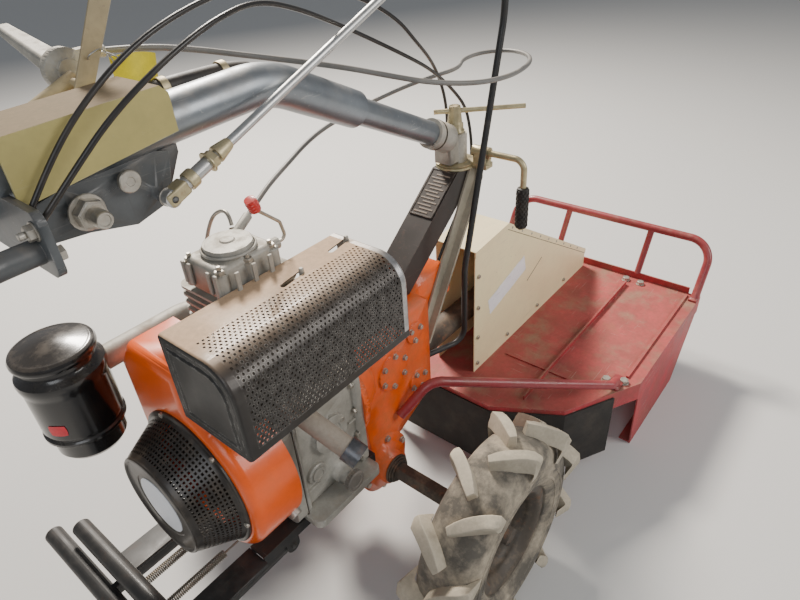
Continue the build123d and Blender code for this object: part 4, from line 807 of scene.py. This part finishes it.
split_bolts = ((-44, 500), (60, 514), (160, 514), (174, 440), (174, 350), (118, 252), (-8, 252), (-44, 352))
fasten("gearbox_bolts", CHASSIS,
       [(hex_bolt, 0.95, (x, -7, z), RIGHT) for x, z in split_bolts]
       + [(stud_nut, 0.95, (x, 7, z), LEFT) for x, z in split_bolts])
# rings of bolts on both sides: middle, ring, bolts, first turn, size and distance from the middle plane
boss_bolts = []
for middle_x, middle_z, ring, count, first, factor, out in (
        (52, 402, 33, 6, 0.4, 0.7, 64), (122, 330, 20, 4, 0.4, 0.7, 64), (118, 450, 16, 3, 0.4, 0.7, 64),
        (0, AXLE_Z, 56, 6, 0.3, 0.8, 66)):
    for number in range(count):
        turn = 2 * math.pi * number / count + first
        x, z = middle_x + ring * math.cos(turn), middle_z + ring * math.sin(turn)
        boss_bolts += [(hex_bolt, factor, (x, -out, z), RIGHT), (hex_bolt, factor, (x, out, z), LEFT)]
fasten("housing_bolts", CHASSIS, boss_bolts)
fasten("crankcase_bolts", CHASSIS,
       [(hex_bolt, 0.72, (-92, -101, z), REAR) for z in (330, 385, 440, 495, 540)]
       + [(hex_bolt, 0.72, (-92, 111, z), REAR) for z in (330, 400, 470, 535)]
       + [(socket_screw, 1.0, (-152.5 + 27 * math.cos(t), -106, 440 + 27 * math.sin(t)), RIGHT)
          for t in (0.5, 2.6, 4.7)]
       + [(stud_nut, 0.95, (x, y, 738), UP) for x, y in ((-220, -20), (-134, -20), (-220, 46), (-134, 46),
                                                         (-177, -25))])
fasten("starter_screws", CHASSIS,
       [(socket_screw, 0.9, (-330.6, 114 * math.sin(t), STARTER_Z + 114 * math.cos(t)), REAR)
        for t in (0.35, 1.4, 2.45, 3.5, 4.55, 5.6)])


# Tyres with their curved lugs

def tyre_lug():
    """One lug of the left half, at the foot of a wheel that turns about the origin."""
    lug = block_blank("lug", (1, 1, 1), (0, 0, 0))
    open_all(lug)
    bpy.ops.mesh.subdivide(number_cuts=5)
    shut()
    for vertex in lug.data.vertices:
        # along the lug, across it and up from the carcass
        run, side, rise = vertex.co.x + 0.5, vertex.co.y, vertex.co.z + 0.5
        line_y = -4 + 68 * run
        half_top = 6.5 + 3.5 * min(run * 4, 1) + 2.0 * max(run - 0.75, 0)
        half = half_top + (1 - rise) * 4.0
        line_x = -0.78 * (line_y - 30) - 5 * math.sin(math.pi * run)
        x = line_x + side * 2 * half * 0.79
        y = line_y + side * 2 * half * 0.61
        outer = min(max((line_y - 46) / 17, 0), 1)
        top = 205 - 9 * outer ** 2 - 1.5 * (1 - min(run * 5, 1))
        base = 176 if outer < 0.35 else 176 - 28 * (outer - 0.35) / 0.65
        reach = base + (top - base) * rise
        limit = 63 - 9 * max((196 - reach) / 48, 0)
        y = max(min(y, limit), -9)
        turn = x / 200
        vertex.co = mm(reach * math.sin(turn), y, -reach * math.cos(turn))
    face_outward(lug)
    return soften(lug, 0.0032, 2, 48)


def lugged_tyre(side_name, middle_y):
    """A tyre's carcass with its sidewall rings, and its two rows of lugs."""
    half = [(101, 38), (103, 42), (108, 45.5), (116, 48.4), (120, 50.2), (121, 51.6), (124, 51.8), (125, 50.8),
            (130, 52), (137, 52), (138, 53.2), (141, 53.2), (142, 51.8), (152, 50.6), (162, 47.8), (170, 44),
            (176, 38), (180, 30), (182.5, 16), (183, 0)]
    outline = half + [(radius, -height) for radius, height in half[-2::-1]] + [half[0]]
    carcass = turned(f"tyre_{side_name}_carcass", outline, mm(0, middle_y, AXLE_Z), LEFT, 72)
    mount(carcass, f"wheel_{side_name}", tyre_rubber, (f"tyre_{side_name}",), 28)
    master = tyre_lug()
    lugs = []
    for number in range(10):
        for half_side in (-1, 1):
            copy = another(master)
            if half_side < 0:
                copy.data.transform(Matrix.Scale(-1, 4, (0, 1, 0)))
                copy.data.flip_normals()
            turn = math.radians(36 * (number + (0.5 if half_side > 0 else 0)))
            copy.data.transform(Matrix.Translation(mm(0, middle_y, AXLE_Z)) @ Matrix.Rotation(turn, 4, "Y"))
            lugs.append(copy)
    scrap(master)
    mount(weld(f"tyre_{side_name}_lugs", lugs), f"wheel_{side_name}", lug_dust,
          (f"tyre_{side_name}",), 40)


for side_name, away in SIDES:
    lugged_tyre(side_name, 320 * away)
for side_name, away in SIDES:
    fasten(f"wheel_{side_name}_bolts", f"wheel_{side_name}",
           [(stud_nut, 1.15, (40 * math.cos(t), 318 * away, AXLE_Z + 40 * math.sin(t)), (0, away, 0))
            for t in (0.4, 1.66, 2.91, 4.17, 5.43)])


# Air filter

filter_outline = [(0, 0), (38, 0), (46, 3), (50, 9), (51, 30), (52, 36), (57, 38), (58.5, 40), (58.5, 44), (57, 46),
                  (55.5, 47), (55.5, 50), (57, 54), (57.5, 122), (58.5, 128), (60.2, 134), (61, 141), (60, 146),
                  (54, 151), (50.5, 154), (48.8, 158), (48.8, 163), (51, 165.5), (56, 167.5), (57.5, 170.5),
                  (57.5, 174.5), (55.5, 178.5), (52, 180.5), (49.5, 181.2), (47.5, 180.8), (30, 186), (12, 189),
                  (0, 189.6)]
filter_pot = turned("filter_pot", filter_outline, mm(-392, 165, 470), UP, 64)
mount(filter_pot, CHASSIS, filter_black, ("air_filter",), 28)


def wrapped_patch(name, wide, tall, middle, facing, radius):
    """A round-cornered sticker wrapped round an upright cylinder."""
    clear_bench()
    bpy.ops.mesh.primitive_circle_add(vertices=24, radius=0.5, fill_type="NGON", location=(0, 0, 0))
    patch = bpy.context.object
    open_all(patch)
    inset((0.14, 0), (0.14, 0), (0.14, 0))
    shut()
    for vertex in patch.data.vertices:
        reach = max(abs(vertex.co.x), abs(vertex.co.y)) / max(math.hypot(vertex.co.x, vertex.co.y), 1e-9)
        square = min(reach ** -0.7, 1.3) if reach > 0 else 1
        across, up = vertex.co.x * wide * square, vertex.co.y * tall * square
        turn = facing + across / radius
        lift = radius + 0.0004
        vertex.co = Vector(middle) + Vector((lift * math.cos(turn), lift * math.sin(turn), up))
    patch.name = name
    thicken(patch, 0.0003, 0)
    return patch


sticker = wrapped_patch("filter_sticker", 0.026, 0.019, mm(-392, 165, 542), math.radians(216), 0.0575)
mount(sticker, CHASSIS, sticker_red)


# Gaskets between the castings

gaskets = [bar("gasket", (-225.2, -105.2, 307), (-221.8, 115.2, 552), 0.002),
           bar("gasket", (-78.6, -104, 309), (-76.6, 114, 550), 0.002)]
mount(weld("engine_gaskets", gaskets), CHASSIS, gasket_dark)


# Handle bracket's bolts, sleeve and flat head, and the silver rod's fork

bracket_bolts = [
    sized(hex_bolt, 2.25, mm(-352, -26, 885), RIGHT, 0.2),
    turned("sleeve", [(0, 0), (10.4, 0), (10.4, 3), (9.6, 4), (9.6, 26), (8.2, 28), (6.2, 28), (5.6, 27), (0, 27)],
           mm(-352, -36, 885), RIGHT, 24),
    turned("flat_head", [(0, 0), (12.5, 0), (12.5, 4.4), (11.4, 5.6), (5, 5.9), (4.4, 5.2), (0, 5.2)],
           mm(-300, -26, 900), RIGHT, 32),
    sized(hex_bolt, 1.25, mm(-268, -38, 872), RIGHT, 0.5),
    sized(hex_bolt, 1.1, mm(-412, -80, 880), FRONT, 0.1), sized(hex_bolt, 1.1, mm(-412, 80, 880), FRONT, 0.5),
    sized(stud_nut, 1.1, mm(-420, -80, 908), REAR, 0.1), sized(stud_nut, 1.1, mm(-420, 80, 908), REAR, 0.5)]
mount(weld("bracket_bolts", bracket_bolts), HANDLEBAR, bolt_zinc)

rod_way = (0.932, 0, 0.3636)
rod_foot = mm(-268, -44, 872)


def on_rod(run):
    """A place on the silver rod, in millimetres from its foot."""
    return rod_foot + Vector(rod_way) * run / 1000


rod_fork = [
    turned("ferrule", [(6.1, 0), (10.5, 0), (10.8, 2), (10.2, 5), (7.4, 21), (6.1, 23)], on_rod(74), rod_way, 28),
    sized(hex_bolt, 1.5, on_rod(60), rod_way, 0.2),
    turned("collar", [(8.3, 0), (11, 0), (11.4, 1.5), (11.4, 10), (10.6, 12), (8.3, 12)], on_rod(26), rod_way, 28)]
rod_fork.append(soften(block_blank("fork_block", (0.019, 0.017, 0.030), on_rod(8), rod_way), 0.003, 3))
mount(weld("rod_fork", rod_fork), HANDLEBAR, zinc_yellow)


# Pull knob, tag and its wire

lever = bpy.data.objects["decompression_lever_finished"]
lever.data.materials.append(knob_red)
knob_way = mm(-8, -2, 18).normalized()
knob_foot, knob_middle = mm(-141, -15, 798), mm(-145, -16, 807)
for face in lever.data.polygons:
    if (face.center - knob_foot).dot(knob_way) > -0.0002 and (face.center - knob_middle).length < 0.02:
        face.material_index = 1
knob_rings = [turned("knob_ring", [(8.0, 0), (8.7, 0.7), (8.7, 1.7), (8.0, 2.4)], knob_foot + knob_way * run,
                     knob_way, 28) for run in (0.003, 0.008, 0.013)]
mount(weld("knob_rings", knob_rings), CHASSIS, knob_red)

clear_bench()
bpy.ops.mesh.primitive_grid_add(x_subdivisions=14, y_subdivisions=8, size=1, location=(0, 0, 0))
tag = bpy.context.object
for vertex in tag.data.vertices:
    across, up = vertex.co.x * 2, vertex.co.y * 2
    sag = 3.5 * (1 - across ** 2) * max(-up, 0) + 4 * across ** 2 * max(up, 0)
    vertex.co = mm(-211 + 27 * across * (1 + 0.05 * up) + 3 * up, 52 + 9 * across ** 2 + 2 * up,
                   984 + 21 * up - 3.5 * across - sag)
tag.name = "blank_tag"
thicken(tag, 0.0006, 0)
mount(tag, HANDLEBAR, tag_yellow)
wire = bent_rod("tag_wire", ((-262, 57, 1006), (-270, 44, 1012), (-258, 42, 1018), (-246, 52, 1016),
                             (-236, 58, 1004), (-232, 60, 994), (-226, 54, 999), (-238, 50, 1010),
                             (-255, 66, 1016), (-262, 66, 1008)), 0.0009, 2)
mount(wire, HANDLEBAR, rod_silver)


# Slotted plate on the column's upper face

def on_column(along, across, up):
    """A place on the column's sloping upper face: millimetres up the slope, across it and out of it."""
    return mm(70 + 0.7948 * along - 0.6069 * up, across, 508 + 0.6069 * along + 0.7948 * up)


def slope_block(name, low, high):
    """A block on the slope between two corners (along, across, up), its edges rounded."""
    middle = [(a + b) / 2 for a, b in zip(low, high)]
    piece = block_blank(name, (1, 1, 1), (0, 0, 0))
    for vertex in piece.data.vertices:
        spot = [m + v * (b - a) for m, v, a, b in zip(middle, vertex.co, low, high)]
        vertex.co = on_column(*spot)
    face_outward(piece)
    return soften(piece, 0.0005, 2)


plate_bars = [slope_block("slot_plate", (200, -26, -0.4), (302, 26, 1.2)),
              slope_block("rim", (200, -26, 1), (203, 26, 2.2)), slope_block("rim", (299, -26, 1), (302, 26, 2.2)),
              slope_block("rim", (200, -26, 1), (302, -23.5, 2.2)), slope_block("rim", (200, 23.5, 1), (302, 26, 2.2))]
mount(weld("slot_plate", plate_bars), CHASSIS, plate_brown)
slots = []
for number in range(12):
    start = 207 + number * 7.4
    low = -20 if number % 2 else -12
    slots.append(slope_block("slot", (start, low, 0.8), (start + 3.0, low + 31, 2.0)))
mount(weld("slot_bars", slots), CHASSIS, slot_brown)


# Grips

low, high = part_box("clamp_lever_grip")
grip_x, grip_y = (low[0] + high[0]) / 2, (low[1] + high[1]) / 2
grip_run = (high[2] - low[2]) * 1000
outline = [(0, 0), (8, 0), (10.5, 1), (11.2, 3)]
rings, sectors = 14, 20
pitch = (grip_run - 7) / rings
outline += [(11.2, 3 + pitch * ring) for ring in range(1, rings + 1)]
outline += [(10.6, grip_run - 1), (9, grip_run), (6, grip_run)]
lock_grip = turned("lock_grip", outline, Vector((grip_x, grip_y, low[2])), UP, sectors)


def on_knob(middle, normal):
    """Every second face of the sleeve, shifted from ring to ring."""
    ring = ((middle.z - low[2]) * 1000 - 3) / pitch
    sector = math.atan2(middle.y - grip_y, middle.x - grip_x) / (2 * math.pi) * sectors
    return 0 < ring < rings and abs(normal.z) < 0.3 and (math.floor(ring) + math.floor(sector)) % 2 == 0


open_faces(lock_grip, on_knob)
inset((0.0002, 0.0007), (0.0006, 0.0006), each=True)
shut()
mount(lock_grip, CHASSIS, grip_rubber, ("clamp_lever_grip",))

for side_name, side in SIDES:
    outline = [(12.7, 0), (19, 0), (19.6, 1.6), (19.2, 4), (16.8, 5.6), (16.6, 9)]
    for rib in range(14):
        start = 10 + 8 * rib
        outline += [(16.7, start + 0.6), (16.7, start + 4.2), (15.5, start + 5.0), (15.5, start + 7.2)]
    outline += [(16.8, 123), (16.9, 129), (15.6, 132.4), (12, 133.3), (0, 133.4)]
    hand_grip = turned(f"hand_grip_{side_name}", outline, Vector((-0.854, side * 0.290, 0.96749)),
                       (-0.98951, 0, 0.14445), 32)
    mount(hand_grip, HANDLEBAR, grip_rubber, (f"grip_{side_name}",))


# Springs between the bumper and the frame

def coil_spring(name, start, run, toward, coil_r, wire_r, turns):
    """A coil of six-sided wire from its start along a direction."""
    clear_bench()
    bpy.ops.mesh.primitive_circle_add(vertices=6, radius=wire_r, location=(coil_r, 0, 0), rotation=(math.pi / 2, 0, 0))
    spring = settle(bpy.context.object, name)
    screw = spring.modifiers.new("coil", "SCREW")
    screw.angle = 2 * math.pi
    screw.screw_offset = run / turns
    screw.iterations = turns
    screw.steps = 12
    screw.render_steps = 12
    screw.use_merge_vertices = False
    take(spring)
    bpy.ops.object.modifier_apply(modifier=screw.name)
    spring.data.transform(Matrix.Translation(start) @ tilt_to(toward).to_matrix().to_4x4())
    return close_doubles(spring)


springs = [coil_spring("spring", mm(-446, y, 284), 0.104, FRONT, 0.0056, 0.00125, 34) for y in (30, -28)]
hooks = [bent_rod("hook", ((-343, y, 284), (-325, y, 284), (-303, y, 285), (-296, y, 298.5)), 0.0016, 2)
         for y in (30, -28)]
mount(weld("stand_springs", springs + hooks), CHASSIS, spring_steel, (), 60)


# Rocker cover's ribs and seam, injector with its pipe, and the injection pump

head_parts = [bar("rib", (-232.5, y - 3.5, 709), (-228.5, y + 3.5, 743), 0.0015) for y in (-24, -8, 34, 48)]
head_parts += [bar("rib", (x - 3.5, -42.5, 709), (x + 3.5, -38.5, 743), 0.0015) for x in (-208, -180, -152)]
seam = turned("seam", [(36.2, 0), (38.4, 0.6), (38.8, 2.4), (37.6, 4), (36.2, 4.4)], mm(-177, 13, 749), UP, 48)
crown = turned("crown", [(0, 3.4), (9, 3.2), (11, 1.4), (29, 0.6), (31.5, 0), (0, -1)], mm(-177, 13, 759), UP, 40)
head_parts += [seam, crown]
mount(weld("rocker_ribs", head_parts), CHASSIS, cast_grey)

pump_parts = [
    soften(block_blank("pump_foot", (0.062, 0.012, 0.074), mm(-150, 112, 470)), 0.003, 3),
    turned("pump_body", [(0, -4), (19, -4), (20, -2), (20, 22), (17, 26), (14, 28), (14, 40), (12, 42), (12, 54),
                         (8.5, 56), (8.5, 66), (0, 66)], mm(-150, 130, 452), UP, 32),
    turned("pump_nut", [(0, 0), (9, 0), (9, 9), (6, 12), (4, 14), (0, 14)], mm(-150, 130, 516), UP, 6)]
mount(weld("injection_pump", pump_parts), CHASSIS, cast_grey)
injector = [
    turned("injector", [(0, 0), (11, 0), (11, 10), (8, 12), (8, 30), (6, 32), (6, 40), (0, 40)], mm(-128, 66, 700),
           (0.25, 0.5, 1), 24),
    sized(hex_bolt, 1.2, mm(-123, 75, 722), (0.25, 0.5, 1))]
mount(weld("injector", injector), CHASSIS, bolt_zinc)
pipe = bent_rod("pressure_pipe", ((-150, 130, 526), (-150, 130, 560), (-150, 150, 600), (-140, 158, 660),
                                  (-120, 140, 735), (-114, 110, 756), (-116, 90, 752), (-120, 84, 738)), 0.003, 3)
mount(pipe, CHASSIS, bolt_zinc, (), 60)


# Blank sticker on the cream cover

sticker = block_blank("cover_sticker", (0.160, 0.0006, 0.042), (0, 0, 0))
open_all(sticker)
bpy.ops.mesh.select_mode(type="VERT")
bpy.ops.mesh.select_all(action="SELECT")
bpy.ops.mesh.subdivide(number_cuts=9)
bpy.ops.transform.vertex_random(offset=0.0022, seed=3)
bpy.ops.transform.resize(value=(1, 0.12, 1))
shut()
sticker.data.transform(Matrix.Translation(mm(462, -62.3, 374)) @ Matrix.Rotation(-math.radians(14.5), 4, "Y"))
mount(sticker, CHASSIS, sticker_white)

# Painted shadow line below the cover's hem: a dark strip standing for the shade under the hem's step. Also the hem's
# rivets, and the real scratch beside the sticker
marks = []
# the "seam" strip is painted shadow, a dark line where the hem's step would cast its shade; the "scratch" strip is a
# real scratch
for name, size, place, slope in (("seam", (0.524, 0.0006, 0.0016), mm(676, -62, 384), 31.36),
                                 ("scratch", (0.078, 0.0004, 0.0022), mm(592, -62, 350), -25)):
    mark = block_blank(name, size, (0, 0, 0))
    mark.data.transform(Matrix.Translation(place) @ Matrix.Rotation(math.radians(slope), 4, "Y"))
    marks.append(soften(mark, 0.00015, 1))
mount(weld("cover_painted_shadow_and_scratch", marks), CHASSIS, gasket_dark)
rivets = [turned("rivet", [(3.0, 0), (2.8, 0.8), (1.6, 1.3), (0, 1.4)],
                 mm(470 + 46 * number, -63.4, 517.5 - 28.03 * number), RIGHT, 14) for number in range(9)]
mount(weld("hem_rivets", rivets), CHASSIS, bolt_zinc)

# darker collar at the open end of the exhaust pipe
exhaust = bpy.data.objects["exhaust_pipe_finished"]
exhaust.data.materials.append(collar_steel)
collar_y = -0.1845
for face in exhaust.data.polygons:
    if face.center.y < collar_y:
        face.material_index = 1


# Castings on the crankcase's right side, its oil cap, and the screws of the housing, the deck and the cream cover

side_parts = [bar("rib", low, high, 0.0016) for low, high in (
    ((-214, -103, 500), (-94, -97, 505)), ((-122, -104, 322), (-117, -97, 404)),
    ((-212, -102, 352), (-186, -97, 356)), ((-110, -103, 420), (-94, -97, 424)))]
boss = [(0, -1), (13, -1), (12, 6), (11, 7.4), (6, 7.6), (5.4, 6.6), (0, 6.6)]
side_parts += [turned("boss", boss, mm(x, -98, z), RIGHT, 28) for x, z in ((-108, 372), (-200, 526), (-112, 528))]
side_parts += [turned("plug_boss", [(0, -1), (19, -1), (18, 5), (16.5, 6.5), (13, 6.5), (12.6, 9.5), (9, 10), (8.6, 8),
                                    (0, 8)], mm(-190, -98, 380), RIGHT, 32),
               turned("side_lid", [(0, 0), (31.5, 0), (33.5, 0.8), (33.5, 2.6), (31, 3.6), (20, 3.4), (18.5, 1.8),
                                   (9, 1.6), (7.5, 3.2), (0, 3.4)], mm(-152.5, -106, 440), RIGHT, 40)]
mount(weld("crankcase_castings", side_parts), CHASSIS, cast_grey)
oil_cap = turned("oil_cap", [(0, -4), (16.5, -4), (18.6, -3), (18.6, 6), (17, 7.6), (12, 8), (11, 6.6), (0, 6.6)],
                 mm(-144.5, -133, 342), RIGHT, 24)
open_faces(oil_cap, lambda middle, normal: abs(normal.y) < 0.3 and middle.y < -0.131)
inset((0.0008, -0.0006), each=True)
shut()
mount(oil_cap, CHASSIS, cast_dark)
screws = [sized(socket_screw, 1.9, mm(-254, -111, 360), (0, -0.83, -0.55)),
          sized(hex_bolt, 0.9, mm(-300, 118, 600), (0.1, 0.8, 0.6)),
          sized(socket_screw, 1.9, mm(-254, 111, 360), (0, 0.83, -0.55))]
deck_top = 205
for x, y in ((486, -352), (470, -318), (388, 184), (360, 150), (893, -232), (893, -192), (893, 8), (893, 48)):
    screws.append(sized(hex_bolt, 1.25, mm(x, y, deck_top), UP, x * 0.01))
for x, z in ((337, 226), (337, 300), (337, 380), (337, 460), (470, 226), (620, 226), (770, 226)):
    screws.append(sized(socket_screw, 0.95, mm(x, -62, z), RIGHT))
    screws.append(sized(socket_screw, 0.95, mm(x, 38, z), LEFT))
mount(weld("cover_screws", screws), CHASSIS, bolt_zinc)


# Dark ring round the socket, black sleeve clipped beside the handle tube, and the dark rings round the axles

socket_ring = turned("socket_ring", [(26.4, -2.4), (27.7, -1.9), (27.7, 1.9), (26.4, 2.4)], mm(281, 0, 769.9),
                     (-0.895, 0, 0.446), 36)
mount(socket_ring, HANDLEBAR, gasket_dark)

sleeve = bent_rod("side_sleeve", ((-240, 41, 962), (-205, 40, 963), (-165, 40, 963), (-125, 39.5, 963),
                                  (-92, 39, 961), (-72, 38.5, 956)), 0.0118, 6)
mount(sleeve, HANDLEBAR, grip_rubber, (), 50)
clips = [turned("clip", [(12, -5), (13.2, -5), (13.6, -4), (13.6, 4), (13.2, 5), (12, 5)], mm(x, 40, 963), FRONT, 28)
         for x in (-196, -110)]
mount(weld("sleeve_clips", clips), HANDLEBAR, zinc_yellow)
for side_name, side in reversed(SIDES):
    rings = [turned("ring", [(17, 0), (radius - 1, 0), (radius, 1), (radius, 3.2), (radius - 1, 4.2), (17, 4.2)],
                    mm(0, side * run, AXLE_Z), (0, side, 0), 36) for run, radius in ((93, 30), (97, 27), (101, 23.5))]
    mount(weld(f"axle_rings_{side_name}", rings), f"wheel_{side_name}", iron_dark)

scrap(hex_bolt, stud_nut, socket_screw)


# Room, light and camera

def room():
    """A pale floor and soft studio light."""
    clear_bench()
    bpy.ops.mesh.primitive_plane_add(size=30, location=(3, 3, 0))
    floor = bpy.context.object
    floor.name = "floor"
    paint = bpy.data.materials.new("floor_paint")
    paint.use_nodes = True
    shader = paint.node_tree.nodes["Principled BSDF"]
    shader.inputs["Base Color"].default_value = (0.62, 0.61, 0.59, 1)
    shader.inputs["Roughness"].default_value = 0.85
    floor.data.materials.append(paint)
    world = bpy.data.worlds.new("soft_sky")
    bpy.context.scene.world = world
    world.use_nodes = True
    sky = world.node_tree.nodes["Background"]
    sky.inputs[0].default_value = (0.86, 0.92, 1.0, 1)
    sky.inputs[1].default_value = 0.26
    # each lamp: name, place, aimed at, width, watts, colour
    lamps = (("key_softbox", (1.6, 2.6, 3.4), (0.1, 0, 0.5), 0.9, 400, (1.0, 0.93, 0.84)),
             ("fill_softbox", (-2.6, -1.8, 2.8), (0, 0, 0.5), 1.8, 34, (0.93, 0.96, 1.0)),
             ("side_softbox", (1.4, -3.0, 2.2), (0.3, 0, 0.4), 1.6, 62, (1.0, 0.97, 0.93)))
    for name, place, aim, width, watts, colour in lamps:
        lamp = bpy.data.lights.new(name, "AREA")
        lamp.size = width
        lamp.energy = watts
        lamp.color = colour
        holder = bpy.data.objects.new(name, lamp)
        bpy.context.scene.collection.objects.link(holder)
        holder.location = place
        holder.rotation_euler = (Vector(aim) - Vector(place)).to_track_quat("-Z", "Y").to_euler()


def camera():
    """The photographer's place: standing behind the right-hand side, looking forward and down."""
    eye_place = (-0.579, -0.644, 1.139)
    heading, pitch, roll = math.radians(41.29), math.radians(34.03), math.radians(4.07)
    forward = Vector((math.cos(heading) * math.cos(pitch), math.sin(heading) * math.cos(pitch), -math.sin(pitch)))
    right = Vector((math.sin(heading), -math.cos(heading), 0))
    down = forward.cross(right)
    image_right = math.cos(roll) * right + math.sin(roll) * down
    image_down = -math.sin(roll) * right + math.cos(roll) * down
    sensor, picture_width, focal_length = 36, 800, 605
    lens = bpy.data.cameras.new("camera")
    lens.sensor_width = sensor
    lens.lens = focal_length / picture_width * sensor
    lens.clip_start = 0.02
    eye = bpy.data.objects.new("camera", lens)
    bpy.context.scene.collection.objects.link(eye)
    turn = Matrix((image_right, -image_down, -forward)).transposed().to_4x4()
    eye.matrix_world = Matrix.Translation(eye_place) @ turn
    bpy.context.scene.camera = eye


room()
camera()
